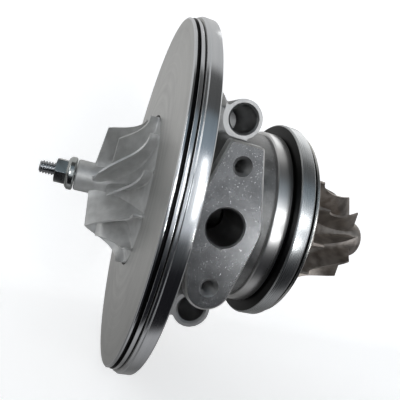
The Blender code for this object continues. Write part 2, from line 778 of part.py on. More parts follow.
def oil_feed():
    # The inlet drops to a gallery in the rib, and a drilling leads from it to each bearing
    inlet = threaded_hole("oil_inlet", (INLET_X, INLET_FACE, 0), (0, -1, 0),
                          INLET_THREAD_RADIUS, INLET_THREAD_DEPTH)
    bm = bmesh.new()
    cylinder(bm, (INLET_X, oil_gallery_height, 0), (0, 1, 0),
             INLET_FACE - INLET_THREAD_DEPTH - oil_gallery_height, OIL_FEED_RADIUS, HOLE_STEPS)
    drop = finished(bm, "oil_drop")
    middles = [start + BEARING_LENGTH / 2 for start in (COMPRESSOR_BEARING_X, TURBINE_BEARING_X)]
    start = pocket_floor - OVERCUT
    bm = bmesh.new()
    cylinder(bm, (start, oil_gallery_height, 0), (1, 0, 0),
             max(middles) + OIL_FEED_RADIUS - start, OIL_FEED_RADIUS, HOLE_STEPS)
    gallery = finished(bm, "oil_gallery")
    bm = bmesh.new()
    for middle in middles:
        cylinder(bm, (middle, bearing_outer - OVERCUT, 0), (0, 1, 0),
                 oil_gallery_height - bearing_outer + OVERCUT, BEARING_FEED_RADIUS, DRILL_STEPS)
    return [inlet, drop, gallery, finished(bm, "bearing_feeds")]


def coolant_passages():
    # Each port is linked to the water jacket, which lies under the neck
    passages = []
    for side, name in SIDES:
        passages.append(threaded_hole(
            f"{name}_coolant_bore", (COOLANT_X, -COOLANT_FACE, side * coolant_offset),
            (0, 1, 0), COOLANT_BORE_RADIUS, COOLANT_BORE_DEPTH))
    bm = bmesh.new()
    for side, name in SIDES:
        cylinder(bm, (COOLANT_X, 0, side * JACKET_OUTER), (1, 0, 0),
                 JACKET_START + COOLANT_LINK_RADIUS - COOLANT_X, COOLANT_LINK_RADIUS, HOLE_STEPS)
    passages.append(finished(bm, "coolant_links"))
    passages.append(turned("coolant_jacket", [
        (JACKET_START, JACKET_OUTER), (JACKET_END, JACKET_OUTER),
        (JACKET_END, JACKET_INNER), (JACKET_START, JACKET_INNER)], RING_STEPS))
    return passages


def front_face_holes():
    # Screw holes, pin holes and the window through which the thrust oil drains
    start = housing_front - OVERCUT
    screw_depth = plate_screw_start + PLATE_SCREW_LENGTH + GAP - start
    bm = bmesh.new()
    for spot in plate_screw_spots():
        cylinder(bm, (start, *spot), (1, 0, 0), screw_depth, PLATE_SCREW_DIAMETER / 2 + GAP,
                 HOLE_STEPS)
    for side, name in SIDES:
        cylinder(bm, (pocket_floor - OVERCUT, 0, side * thrust_pin_circle), (1, 0, 0),
                 OVERCUT + THRUST_PIN_DEPTH + GAP, THRUST_PIN_DIAMETER / 2 + GAP, HOLE_STEPS)
    box(bm, (pocket_floor - OVERCUT, THRUST_WINDOW_INSET - SPIGOT_RADIUS,
             -THRUST_WINDOW_WIDTH / 2),
        (CAVITY_START + OVERCUT, -THRUST_WINDOW_START, THRUST_WINDOW_WIDTH / 2))
    return [finished(bm, "front_face_holes")]


def heat_shield():
    # A pressed cup: the lip, a rounded wall and a floor with the hole for the wheel's boss
    sheet = SHIELD_SHEET
    corner = SHIELD_CORNER
    floor = shield_front + SHIELD_CUP_DEPTH
    flare = quarter((shield_front + sheet, SHIELD_CUP_RADIUS + corner),
                    (shield_front + sheet + corner, SHIELD_CUP_RADIUS), True, BEND_STEPS)
    bend = quarter((floor - corner, SHIELD_CUP_RADIUS), (floor, SHIELD_CUP_RADIUS - corner),
                   False, BEND_STEPS)
    inner_flare = quarter((shield_front + sheet + corner, SHIELD_CUP_RADIUS - sheet),
                          (shield_front, SHIELD_CUP_RADIUS + corner), False, BEND_STEPS)
    inner_bend = quarter((floor - sheet, SHIELD_CUP_RADIUS - corner),
                         (floor - corner, SHIELD_CUP_RADIUS - sheet), True, BEND_STEPS)
    turned("heat_shield", [
        (shield_front, SHIELD_LIP_RADIUS),
        (shield_front + sheet, SHIELD_LIP_RADIUS),
        *flare,
        *bend,
        (floor, shield_hole),
        (floor - sheet, shield_hole),
        *inner_bend,
        *inner_flare,
    ], BODY_STEPS, "stamped_sheet")


def seal_groove(ring_start):
    return ring_start - GAP, ring_start + SEAL_RING_WIDTH + GAP


def rotor_shaft():
    groove_start, groove_end = seal_groove(turbine_ring_start)
    groove_bottom = turbine_seal_bore - 2 * GAP - SEAL_RING_DEPTH
    turned("rotor_shaft", [
        (shaft_tip, 0),
        (shaft_tip, shaft_end_radius - SHAFT_END_CHAMFER),
        (shaft_tip + SHAFT_END_CHAMFER, shaft_end_radius),
        (shaft_shoulder, shaft_end_radius),
        (shaft_shoulder, journal_radius),
        (SEAL_HUB_START, journal_radius),
        (SEAL_HUB_START, SEAL_HUB_RADIUS),
        (groove_start, SEAL_HUB_RADIUS),
        (groove_start, groove_bottom),
        (groove_end, groove_bottom),
        (groove_end, SEAL_HUB_RADIUS),
        (SEAL_HUB_END, SEAL_HUB_RADIUS),
        (SEAL_HUB_END, 0),
    ], BORE_STEPS, "ground_steel")


def compressor_wheel():
    hub_start = (INDUCER_X - INDUCER_RAKE, COMPRESSOR_NOSE_RADIUS)
    wheel = turned("compressor_wheel", [
        (COMPRESSOR_NOSE_X, rotor_bore),
        (COMPRESSOR_NOSE_X, COMPRESSOR_NOSE_RADIUS - COMPRESSOR_NOSE_CHAMFER),
        (COMPRESSOR_NOSE_X + COMPRESSOR_NOSE_CHAMFER, COMPRESSOR_NOSE_RADIUS),
        *quarter(hub_start, (COMPRESSOR_RIM_X, COMPRESSOR_RADIUS), False, BLADE_COLUMNS),
        (rim_back, COMPRESSOR_RADIUS),
        (rim_back, COMPRESSOR_BACK_RADIUS),
        (COMPRESSOR_BOSS_X, COMPRESSOR_BOSS_RADIUS),
        (COMPRESSOR_BOSS_X, rotor_bore),
    ], BODY_STEPS, "cast_aluminium")

    # The blade leans back at the hub first and at the tip later, and both meet at the rim
    def hub_wrap(share):
        lean = leaned(HUB_LEAN, share)
        return math.radians(COMPRESSOR_HUB_WRAP * (1 - lean) - COMPRESSOR_TIP_WRAP)

    def tip_wrap(share):
        return math.radians(-COMPRESSOR_TIP_WRAP * leaned(TIP_LEAN, share))

    blade_radius = COMPRESSOR_RADIUS - BLADE_TRIM
    hub = quarter(hub_start, (COMPRESSOR_RIM_X, blade_radius), False, BLADE_COLUMNS)
    tip = quarter((INDUCER_X, INDUCER_RADIUS), (SHROUD_EXIT_X, blade_radius), False,
                  BLADE_COLUMNS)
    bm = bmesh.new()
    for i in range(2 * COMPRESSOR_BLADES):
        clock = math.radians(COMPRESSOR_CLOCK) + math.pi * i / COMPRESSOR_BLADES
        blade(bm, hub, tip, clocked(hub_wrap, tip_wrap, clock),
              (COMPRESSOR_BLADE_ROOT, COMPRESSOR_BLADE_TIP), BLADE_SINK,
              SPLITTER_START if i % 2 else 0.0)
    join(wheel, finished(bm, "compressor_blades"))


def compressor_nut():
    corner = NUT_HEX_FLATS / math.sqrt(3)
    nut = turned("compressor_nut", [
        (nut_flange_start, 0),
        (nut_flange_start, NUT_FLANGE_RADIUS - NUT_CHAMFER),
        (nut_flange_start + NUT_CHAMFER, NUT_FLANGE_RADIUS),
        (nut_end - NUT_CHAMFER, NUT_FLANGE_RADIUS),
        (nut_end, NUT_FLANGE_RADIUS - NUT_CHAMFER),
        (nut_end, 0),
    ], BOSS_STEPS, "dark_steel")
    bm = bmesh.new()
    cylinder(bm, (nut_start, 0, 0), (1, 0, 0), NUT_HEX_LENGTH + NUT_CHAMFER, corner, 6)
    hexagon = finished(bm, "nut_hexagon")
    combine(hexagon, turned("nut_crown", [
        (nut_start, 0),
        (nut_start, NUT_HEX_FLATS / 2),
        (nut_start + NUT_CHAMFER, corner + GAP),
        (nut_end, corner + GAP),
        (nut_end, 0),
    ], BOSS_STEPS), "INTERSECT")
    join(nut, hexagon)
    bm = bmesh.new()
    cylinder(bm, (nut_start - OVERCUT, 0, 0), (1, 0, 0), nut_end - nut_start + 2 * OVERCUT,
             rotor_bore, BORE_STEPS)
    cut(nut, finished(bm, "nut_bore"))


def oil_flinger():
    groove_start, groove_end = seal_groove(compressor_ring_start)
    groove_bottom = flinger_bore - 2 * GAP - SEAL_RING_DEPTH
    turned("oil_flinger", [
        (flinger_start, FLINGER_SEAL_RADIUS),
        (groove_start, FLINGER_SEAL_RADIUS),
        (groove_start, groove_bottom),
        (groove_end, groove_bottom),
        (groove_end, FLINGER_SEAL_RADIUS),
        (flinger_end - FLINGER_FLANGE, FLINGER_SEAL_RADIUS),
        (flinger_end - FLINGER_FLANGE, FLINGER_RADIUS),
        (flinger_end, FLINGER_RADIUS),
        (flinger_end, rotor_bore),
        (flinger_start, rotor_bore),
    ], BORE_STEPS, "ground_steel")


def thrust_collar():
    start = flinger_end + GAP
    turned("thrust_collar", [
        (start, COLLAR_SLEEVE_RADIUS),
        (pocket_floor, COLLAR_SLEEVE_RADIUS),
        (pocket_floor, COLLAR_RADIUS),
        (collar_end, COLLAR_RADIUS),
        (collar_end, rotor_bore),
        (start, rotor_bore),
    ], BORE_STEPS, "ground_steel")


def thrust_window(name, start, end):
    bm = bmesh.new()
    box(bm, (start - OVERCUT, -SPIGOT_RADIUS - OVERCUT, -THRUST_WINDOW_WIDTH / 2),
        (end + OVERCUT, -THRUST_WINDOW_START, THRUST_WINDOW_WIDTH / 2))
    return finished(bm, name)


def thrust_bearing():
    bore = COLLAR_SLEEVE_RADIUS + GAP
    bearing = turned("thrust_bearing", [
        (thrust_start, SPIGOT_RADIUS), (thrust_end, SPIGOT_RADIUS),
        (thrust_end, bore), (thrust_start, bore),
    ], RING_STEPS, "bronze")
    cut(bearing, thrust_window("thrust_bearing_window", thrust_start, thrust_end))
    bm = bmesh.new()
    for side in (-1, 1):
        cylinder(bm, (thrust_start - OVERCUT, 0, side * thrust_pin_circle), (1, 0, 0),
                 THRUST_BEARING_THICKNESS + 2 * OVERCUT, THRUST_PIN_DIAMETER / 2 + GAP,
                 HOLE_STEPS)
    cut(bearing, finished(bm, "thrust_pin_holes"))
    # Oil grooves across both faces part the pads that carry the end thrust
    half = THRUST_GROOVE_WIDTH / 2
    for name, low, high in (
            ("front", thrust_start - OVERCUT, thrust_start + THRUST_GROOVE_DEPTH),
            ("rear", thrust_end - THRUST_GROOVE_DEPTH, thrust_end + OVERCUT)):
        bm = bmesh.new()
        box(bm, (low, -COLLAR_RADIUS, -half), (high, COLLAR_RADIUS, half))
        box(bm, (low, -half, -COLLAR_RADIUS), (high, half, COLLAR_RADIUS))
        cut(bearing, finished(bm, f"{name}_thrust_grooves"))


def thrust_pins():
    start = thrust_start + GAP
    for side, name in SIDES:
        bm = bmesh.new()
        cylinder(bm, (start, 0, side * thrust_pin_circle), (1, 0, 0),
                 pocket_floor + THRUST_PIN_DEPTH - start, THRUST_PIN_DIAMETER / 2, HOLE_STEPS)
        finished(bm, f"{name}_thrust_pin", "ground_steel")


def oil_deflector():
    inner = FLINGER_RADIUS + DEFLECTOR_MARGIN
    sheet = turned("oil_deflector", [
        (deflector_start, SPIGOT_RADIUS), (deflector_end, SPIGOT_RADIUS),
        (deflector_end, inner), (deflector_start, inner)], RING_STEPS, "stamped_sheet")
    cut(sheet, thrust_window("deflector_window", deflector_start, deflector_end))


def gallery_plug():
    bm = bmesh.new()
    cylinder(bm, (pocket_floor + GAP, oil_gallery_height, 0), (1, 0, 0), GALLERY_PLUG_LENGTH,
             OIL_FEED_RADIUS - GAP, HOLE_STEPS)
    finished(bm, "gallery_plug", "ground_steel")


def journal_bearing(name, start):
    # A full-floating bush with oil holes through its wall, and its two circlips
    end = start + BEARING_LENGTH
    bush = turned(f"{name}_bearing", [
        (start, bearing_outer), (end, bearing_outer), (end, bearing_inner),
        (start, bearing_inner)], BORE_STEPS, "bronze")
    bm = bmesh.new()
    for i in range(BEARING_OIL_HOLES):
        outward = polar(0, 1, math.tau * (i + 0.5) / BEARING_OIL_HOLES)
        base = Vector(((start + end) / 2, 0, 0)) + outward * (bearing_inner - OVERCUT)
        cylinder(bm, base, outward, BEARING_WALL + 2 * OVERCUT, BEARING_OIL_HOLE / 2,
                 DRILL_STEPS)
    cut(bush, finished(bm, f"{name}_oil_holes"))
    for side, clip_start in zip(("front", "rear"), circlip_starts(start)):
        split_ring(f"{name}_{side}_circlip", clip_start, CIRCLIP_THICKNESS, circlip_radius,
                   CIRCLIP_DEPTH, CIRCLIP_OPENING, "dark_steel")


def seal_rings():
    for name, start, bore in (("compressor", compressor_ring_start, flinger_bore),
                              ("turbine", turbine_ring_start, turbine_seal_bore)):
        split_ring(f"{name}_seal_ring", start, SEAL_RING_WIDTH, bore - GAP, SEAL_RING_DEPTH,
                   SEAL_RING_SPLIT, "dark_steel")


def turbine_wheel():
    nose = TURBINE_NOSE_ROUND
    hub_end = (TURBINE_HUB_EXIT_X, TURBINE_HUB_RADIUS)
    wheel = turned("turbine_wheel", [
        (turbine_boss_start, 0),
        (turbine_boss_start, TURBINE_BOSS_RADIUS),
        (TURBINE_BACK_X, TURBINE_BOSS_RADIUS),
        (TURBINE_BACK_X, TURBINE_RADIUS),
        *quarter((turbine_disc_end, TURBINE_RADIUS), hub_end, True, BLADE_COLUMNS),
        *quarter((TURBINE_NOSE_END - nose, TURBINE_HUB_RADIUS),
                 (TURBINE_NOSE_END, TURBINE_HUB_RADIUS - nose), False, BEND_STEPS),
        (TURBINE_NOSE_END, 0),
    ], TURBINE_FACETS_PER_BLADE * TURBINE_BLADES, "turbine_alloy")

    def wrap(share):
        return math.radians(-TURBINE_WRAP * share ** TURBINE_WRAP_POWER)

    blade_radius = TURBINE_RADIUS - BLADE_TRIM
    hub = quarter((turbine_disc_end, blade_radius), hub_end, True, BLADE_COLUMNS)
    tip = quarter((turbine_inlet_end, blade_radius), (TURBINE_EXIT_X, TURBINE_EXIT_RADIUS),
                  True, BLADE_COLUMNS)
    blades = bmesh.new()
    scallops = bmesh.new()
    for i in range(TURBINE_BLADES):
        clock = math.radians(TURBINE_CLOCK) + math.tau * i / TURBINE_BLADES
        blade(blades, hub, tip, clocked(wrap, wrap, clock),
              (TURBINE_BLADE_ROOT, TURBINE_BLADE_TIP), -BLADE_SINK)
        centre = polar(TURBINE_BACK_X - OVERCUT, TURBINE_RADIUS + TURBINE_SCALLOP_OFFSET,
                       clock + math.pi / TURBINE_BLADES)
        cylinder(scallops, centre, (1, 0, 0), TURBINE_DISC_THICKNESS + 2 * OVERCUT,
                 TURBINE_SCALLOP_RADIUS, BORE_STEPS)
    cut(wheel, finished(scallops, "turbine_scallops"))
    join(wheel, finished(blades, "turbine_blades"))


def main():
    for old in list(bpy.data.objects):
        bpy.data.objects.remove(old, do_unlink=True)
    collection("turbo_cartridge")
    collection("cutters")
    backplate()
    backplate_screws()
    backplate_ring()
    housing()
    heat_shield()
    rotor_shaft()
    compressor_wheel()
    compressor_nut()
    oil_flinger()
    thrust_collar()
    thrust_bearing()
    thrust_pins()
    oil_deflector()
    gallery_plug()
    journal_bearing("compressor_journal", COMPRESSOR_BEARING_X)
    journal_bearing("turbine_journal", TURBINE_BEARING_X)
    seal_rings()
    turbine_wheel()
    for piece in bpy.data.collections["turbo_cartridge"].objects:
        smoothed(piece)


main()
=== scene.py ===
import math

import bmesh
import bpy
from mathutils import Matrix, Vector


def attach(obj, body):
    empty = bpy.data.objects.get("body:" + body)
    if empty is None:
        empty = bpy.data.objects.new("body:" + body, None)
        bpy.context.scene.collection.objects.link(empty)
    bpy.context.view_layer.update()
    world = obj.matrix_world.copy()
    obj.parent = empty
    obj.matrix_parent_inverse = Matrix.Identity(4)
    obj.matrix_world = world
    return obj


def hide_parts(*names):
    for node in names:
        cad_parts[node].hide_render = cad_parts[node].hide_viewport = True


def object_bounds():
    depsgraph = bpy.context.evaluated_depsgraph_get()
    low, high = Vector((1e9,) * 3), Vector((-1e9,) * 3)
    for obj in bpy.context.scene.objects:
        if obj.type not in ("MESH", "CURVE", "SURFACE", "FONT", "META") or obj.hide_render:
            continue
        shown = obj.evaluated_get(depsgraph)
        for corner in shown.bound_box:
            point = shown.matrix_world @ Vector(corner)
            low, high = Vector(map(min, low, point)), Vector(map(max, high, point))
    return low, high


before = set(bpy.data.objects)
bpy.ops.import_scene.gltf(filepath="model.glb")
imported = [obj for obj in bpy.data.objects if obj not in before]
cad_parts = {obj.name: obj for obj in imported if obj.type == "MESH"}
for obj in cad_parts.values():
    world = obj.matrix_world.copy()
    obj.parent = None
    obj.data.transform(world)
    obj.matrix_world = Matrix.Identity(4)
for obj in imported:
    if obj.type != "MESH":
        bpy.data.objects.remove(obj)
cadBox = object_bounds()
print("frame loaded:", len(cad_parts), "nodes")

# All sizes below are in millimetres, counted as in the CAD: the shaft runs along X and
# x is 0 on the front face of the backplate
mm = 0.001
shapeMaker = {"sharpAngle": 32.0, "cornerSteps": 3, "cornerShare": 0.4, "straightAngle": 168.0}


# Meshes
def newObject(name, data):
    made = bpy.data.objects.new(name, data)
    bpy.context.scene.collection.objects.link(made)
    return made


def meshOf(bm, name):
    mesh = bpy.data.meshes.new(name)
    bm.to_mesh(mesh)
    bm.free()
    return mesh


def shaded(mesh, angle=None):
    mesh.shade_smooth()
    mesh.set_sharp_from_angle(angle=math.radians(angle or shapeMaker["sharpAngle"]))


def rounded(outline, radius, closed=True):
    # Replaces each corner of the outline by a short curve, which catches the light
    made = []
    count, share = len(outline), shapeMaker["cornerShare"]
    straight = math.radians(shapeMaker["straightAngle"])
    for i, (x, r) in enumerate(outline):
        if not closed and i in (0, count - 1) or r == 0:
            made.append((x, r))
            continue
        here = Vector((x, r))
        before, after = (Vector(outline[j % count]) - here for j in (i - 1, i + 1))
        if before.length < 1e-9 or after.length < 1e-9 or before.angle(after) > straight:
            made.append((x, r))
            continue
        cut = min(radius, share * before.length, share * after.length)
        start, end = here + before.normalized() * cut, here + after.normalized() * cut
        steps = shapeMaker["cornerSteps"]
        for k in range(steps + 1):
            t = k / steps
            point = start * (1 - t) ** 2 + here * 2 * t * (1 - t) + end * t ** 2
            made.append((point.x, point.y))
    return made


def turned(name, outline, steps, radiusAt=None):
    # The outline is a list of (x, radius). It is closed unless it starts on the shaft's
    # axis, and radiusAt(x, radius, turn) may change a radius.
    bm = bmesh.new()
    rings = []
    for x, r in outline:
        if r == 0:
            rings.append([bm.verts.new((x * mm, 0, 0))])
            continue
        ring = []
        for i in range(steps):
            turn = math.tau * i / steps
            here = radiusAt(x, r, turn) if radiusAt else r
            ring.append(bm.verts.new((x * mm, -here * mm * math.cos(turn),
                                      -here * mm * math.sin(turn))))
        rings.append(ring)
    pairs = list(zip(rings, rings[1:]))
    if outline[0][1] > 0:
        pairs.append((rings[-1], rings[0]))
    for a, b in pairs:
        for i in range(steps):
            j = (i + 1) % steps
            corners = [a[i % len(a)], a[j % len(a)], b[j % len(b)], b[i % len(b)]]
            bm.faces.new(list(dict.fromkeys(corners)))
    bmesh.ops.recalc_face_normals(bm, faces=bm.faces)
    return newObject(name, meshOf(bm, name))


def place(obj, base, axis):
    # Moves a shape that was turned about X so that it starts at base and runs along axis
    turn = Vector((1, 0, 0)).rotation_difference(Vector(axis)).to_matrix().to_4x4()
    obj.data.transform(Matrix.Translation(Vector(base) * mm) @ turn)
    return obj


def boxShape(name, low, high):
    bm = bmesh.new()
    low, high = Vector(low), Vector(high)
    bmesh.ops.create_cube(bm, size=1, matrix=Matrix.Translation((low + high) / 2 * mm)
                          @ Matrix.Diagonal((*((high - low) * mm), 1)))
    return newObject(name, meshOf(bm, name))


def baked(obj):
    # Turns an object with its modifiers into a plain mesh
    depsgraph = bpy.context.evaluated_depsgraph_get()
    mesh = bpy.data.meshes.new_from_object(obj.evaluated_get(depsgraph), depsgraph=depsgraph)
    obj.modifiers.clear()
    obj.data = mesh
    return obj


def combined(obj, tool, operation="DIFFERENCE"):
    step = obj.modifiers.new("combine", "BOOLEAN")
    step.operation = operation
    step.solver = "MANIFOLD"
    step.object = tool
    baked(obj)
    bpy.data.objects.remove(tool)
    return obj


def joined(name, parts):
    bm = bmesh.new()
    for part in parts:
        bm.from_mesh(part.data)
        bpy.data.objects.remove(part)
    return newObject(name, meshOf(bm, name))


def ellipsePoint(start, end, radial, share):
    # On a quarter ellipse that leaves its start along the shaft, or where it is radial
    # straight towards or away from the shaft
    turn = math.pi / 2 * share
    along, across = math.sin(turn), 1 - math.cos(turn)
    if radial:
        along, across = across, along
    return (start[0] + (end[0] - start[0]) * along, start[1] + (end[1] - start[1]) * across)


def quarter(start, end, radial, count):
    return [ellipsePoint(start, end, radial, i / count) for i in range(count + 1)]


# Shader groups
def group(name, inputs, outputs, kind="ShaderNodeTree"):
    made = bpy.data.node_groups.new(name, kind)
    for way, sockets in (("INPUT", inputs), ("OUTPUT", outputs)):
        for label, holds in sockets.items():
            made.interface.new_socket(label, in_out=way, socket_type="NodeSocket" + holds)
    return made, made.nodes.new("NodeGroupInput").outputs, made.nodes.new("NodeGroupOutput")


def fill(tree, node, inputs):
    # Each input takes a value, or a link from another node's output
    for key, value in inputs.items():
        if isinstance(value, bpy.types.NodeSocket):
            tree.links.new(value, node.inputs[key])
        else:
            node.inputs[key].default_value = value
    return node


def addNode(tree, kind, inputs, **settings):
    node = tree.nodes.new(kind)
    for key, value in settings.items():
        setattr(node, key, value)
    return fill(tree, node, inputs)


def mathNode(tree, operation, *values):
    return addNode(tree, "ShaderNodeMath", dict(enumerate(values)),
                   operation=operation).outputs[0]


def times(tree, a, b):
    return mathNode(tree, "MULTIPLY", a, b)


def ramp(tree, source, low, high):
    return addNode(tree, "ShaderNodeMapRange",
                   {"Value": source, "From Min": low, "From Max": high}).outputs["Result"]


def noise(tree, vector, scale, detail, rough=0.55):
    return addNode(tree, "ShaderNodeTexNoise", {"Vector": vector, "Scale": scale,
                                                "Detail": detail, "Roughness": rough}).outputs[0]


latheMarks = {"bandShare": 0.06, "ringDetail": 2.0, "bandDetail": 3.0}


def turningMarksGroup():
    # Fine rings that a lathe leaves, on end faces as well as on round ones
    tree, entry, leave = group("turningMarks", {"Vector": "Vector", "Pitch": "Float"},
                               {"Rings": "Float", "Bands": "Float"})
    split = addNode(tree, "ShaderNodeSeparateXYZ", {0: entry["Vector"]}).outputs
    square = [times(tree, split[i], split[i]) for i in (1, 2)]
    radius = mathNode(tree, "SQRT", mathNode(tree, "ADD", *square))
    along = mathNode(tree, "ADD", split[0], radius)
    where = mathNode(tree, "DIVIDE", along, entry["Pitch"])
    for label, share, detail in (("Rings", 1.0, latheMarks["ringDetail"]),
                                 ("Bands", latheMarks["bandShare"], latheMarks["bandDetail"])):
        rings = addNode(tree, "ShaderNodeTexNoise", {}, noise_dimensions="1D")
        fill(tree, rings, {"Scale": 1.0, "Detail": detail,
                           "W": times(tree, where, share)})
        fill(tree, leave, {label: rings.outputs[0]})
    return tree


# Scales are shares of the grain, and the pairs are where a mask starts and is full
skinPattern = {"grainDetail": 6.0, "grainRough": 0.62, "waveScale": 0.12, "waveDetail": 3.0,
               "waveRough": 0.5, "waveHeight": 1.6, "pitScale": 0.45, "pitEdge": (0.32, 0.0),
               "pitPatchScale": 0.3, "pitPatch": (0.5, 0.62), "speckScale": 1.0,
               "speckEdge": (0.65, 0.71), "patchDetail": 2.0}


def castSkinGroup():
    # Sand-cast skin: coarse waves, grain and small pits
    p = skinPattern
    tree, entry, leave = group(
        "castSkin", {"Vector": "Vector", "Grain": "Float", "Pits": "Float"},
        {"Height": "Float", "Patches": "Float", "Specks": "Float"})
    scaled = addNode(tree, "ShaderNodeVectorMath", {}, operation="SCALE")
    fill(tree, scaled, {0: entry["Vector"], "Scale": entry["Grain"]})
    where = scaled.outputs[0]
    grain = noise(tree, where, 1.0, p["grainDetail"], p["grainRough"])
    waves = noise(tree, where, p["waveScale"], p["waveDetail"], p["waveRough"])
    cells = addNode(tree, "ShaderNodeTexVoronoi", {"Scale": p["pitScale"], "Vector": where})
    pit = ramp(tree, cells.outputs["Distance"], *p["pitEdge"])
    chosen = ramp(tree, noise(tree, where, p["pitPatchScale"], p["patchDetail"]), *p["pitPatch"])
    pit = times(tree, times(tree, pit, chosen), entry["Pits"])
    height = mathNode(tree, "ADD", times(tree, waves, p["waveHeight"]), grain)
    bright = ramp(tree, noise(tree, where, p["speckScale"], p["patchDetail"]), *p["speckEdge"])
    fill(tree, leave, {"Height": mathNode(tree, "SUBTRACT", height, pit), "Patches": waves,
                       "Specks": bright})
    return tree


turningMarks = turningMarksGroup()
castSkin = castSkinGroup()


# Materials
def material(name):
    made = bpy.data.materials.new(name)
    made.use_nodes = True
    tree = made.node_tree
    shader = tree.nodes["Principled BSDF"]
    where = tree.nodes.new("ShaderNodeTexCoord").outputs["Object"]
    return made, tree, shader, where


def useGroup(tree, shared, where, values):
    node = addNode(tree, "ShaderNodeGroup", {}, node_tree=shared)
    return fill(tree, node, {"Vector": where, **values})


def colourOf(value):
    # One number stands for a grey
    return (*value, 1.0) if isinstance(value, tuple) else (value, value, value, 1.0)


def blendColour(tree, factor, low, high):
    node = addNode(tree, "ShaderNodeMix", {}, data_type="RGBA")
    low, high = (colourOf(colour) if isinstance(colour, (float, tuple)) else colour
                 for colour in (low, high))
    return fill(tree, node, {0: factor, 6: low, 7: high}).outputs[2]


def blendValue(tree, factor, low, high):
    return mathNode(tree, "ADD", times(tree, factor, high - low), low)


def bump(tree, height, depth):
    return addNode(tree, "ShaderNodeBump", {"Distance": depth, "Height": height}).outputs[0]


metalCloud = {"scale": 60.0, "detail": 3.0, "stain": (0.45, 0.75), "roughness": 0.08}
castPatch = (0.35, 0.65)


def turnedMetal(name, look):
    made, tree, shader, where = material(name)
    marks = useGroup(tree, turningMarks, where, {"Pitch": look["pitch"] * mm})
    cloud = noise(tree, where, metalCloud["scale"], metalCloud["detail"])
    colour = blendColour(tree, marks.outputs["Bands"], look["dark"], look["light"])
    stain = ramp(tree, cloud, *metalCloud["stain"])
    colour = blendColour(tree, times(tree, stain, look["stain"]), colour, look["stainColour"])
    rough = blendValue(tree, marks.outputs["Rings"], *look["roughness"])
    rough = mathNode(tree, "ADD", rough, times(tree, cloud, metalCloud["roughness"]))
    fill(tree, shader, {"Base Color": colour, "Roughness": rough, "Metallic": 1.0,
                        "Normal": bump(tree, marks.outputs["Rings"], look["depth"] * mm)})
    return made


def castMetal(name, look):
    made, tree, shader, where = material(name)
    skin = useGroup(tree, castSkin, where, {"Grain": look["grain"], "Pits": look["pits"]})
    patch = ramp(tree, skin.outputs["Patches"], *castPatch)
    colour = blendColour(tree, patch, look["dark"], look["light"])
    speck = times(tree, skin.outputs["Specks"], look["specks"])
    colour = blendColour(tree, speck, colour, look["speckColour"])
    fill(tree, shader, {"Base Color": colour, "Metallic": look["metallic"],
                        "Roughness": blendValue(tree, patch, *look["roughness"]),
                        "Normal": bump(tree, skin.outputs["Height"], look["depth"] * mm)})
    return made


turnedKeys = ("dark", "light", "pitch", "roughness", "depth", "stain", "stainColour")
turnedLooks = {
    "discFace": ((0.46, 0.46, 0.45), (0.60, 0.60, 0.58), 0.16, (0.30, 0.42), 0.0035, 0.25, 0.32),
    "discRim": ((0.62, 0.64, 0.66), (0.80, 0.81, 0.82), 0.22, (0.06, 0.16), 0.0012, 0.2,
                (0.5, 0.52, 0.54)),
    "turnedNeck": (0.62, (0.84, 0.84, 0.83), 0.25, (0.20, 0.34), 0.005, 0.3, (0.30, 0.29, 0.25)),
    "turnedFlange": ((0.46, 0.48, 0.49), (0.62, 0.63, 0.63), 0.3, (0.18, 0.30), 0.003, 0.2,
                     (0.36, 0.37, 0.36)),
    "shieldSheet": ((0.52, 0.52, 0.50), (0.66, 0.66, 0.64), 0.6, (0.16, 0.26), 0.002, 0.25,
                    (0.42, 0.38, 0.32)),
    "machinedIron": (0.30, 0.42, 0.5, (0.28, 0.42), 0.003, 0.3, 0.13),
    # The near-black iron below is painted shade, put on faces that sit in shadow: the
    # backplate's rim grooves, the heat shield's front face in the gap and the turbine flange's
    # front annulus
    "paintedShadeIron": (0.012, 0.025, 0.4, (0.35, 0.45), 0.002, 0.1, 0.02),
    "nutSteel": ((0.40, 0.42, 0.41), (0.56, 0.58, 0.57), 0.3, (0.08, 0.16), 0.002, 0.3,
                 (0.05, 0.08, 0.07)),
    "groundSteel": ((0.44, 0.45, 0.47), (0.58, 0.59, 0.60), 0.1, (0.10, 0.20), 0.001, 0.2, 0.3),
    "bearingBronze": ((0.46, 0.30, 0.13), (0.60, 0.42, 0.20), 0.2, (0.22, 0.32), 0.002, 0.3,
                      (0.3, 0.18, 0.08)),
}
castKeys = ("dark", "light", "grain", "pits", "specks", "speckColour", "roughness", "metallic",
            "depth")
castLooks = {
    "castIron": (0.16, (0.28, 0.28, 0.275), 1500.0, 0.7, 0.5, 0.5, (0.36, 0.52), 0.75, 0.10),
    "castAluminium": ((0.50, 0.50, 0.49), (0.61, 0.61, 0.60), 2600.0, 0.3, 0.15, 0.7,
                      (0.38, 0.50), 0.5, 0.016),
    "castAlloy": ((0.24, 0.212, 0.19), (0.40, 0.36, 0.325), 2200.0, 0.3, 0.2,
                  (0.55, 0.52, 0.48), (0.36, 0.50), 0.9, 0.02),
    "padFace": ((0.095, 0.097, 0.10), (0.125, 0.128, 0.132), 1900.0, 0.9, 0.8, 0.62,
                (0.24, 0.28), 0.85, 0.012),
    "sealRubber": (0.02, 0.035, 2500.0, 0.1, 0.0, 0.1, (0.5, 0.65), 0.0, 0.01),
}
finishes = {name: turnedMetal(name, dict(zip(turnedKeys, row)))
            for name, row in turnedLooks.items()}
finishes.update({name: castMetal(name, dict(zip(castKeys, row)))
                 for name, row in castLooks.items()})
print("materials made:", len(finishes))


def dressed(obj, *names):
    obj.data.materials.clear()
    for name in names:
        obj.data.materials.append(finishes[name])
    return obj


def finished(obj, body, nodes=()):
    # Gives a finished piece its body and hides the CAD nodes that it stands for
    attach(obj, body)
    if nodes:
        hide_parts(*nodes)


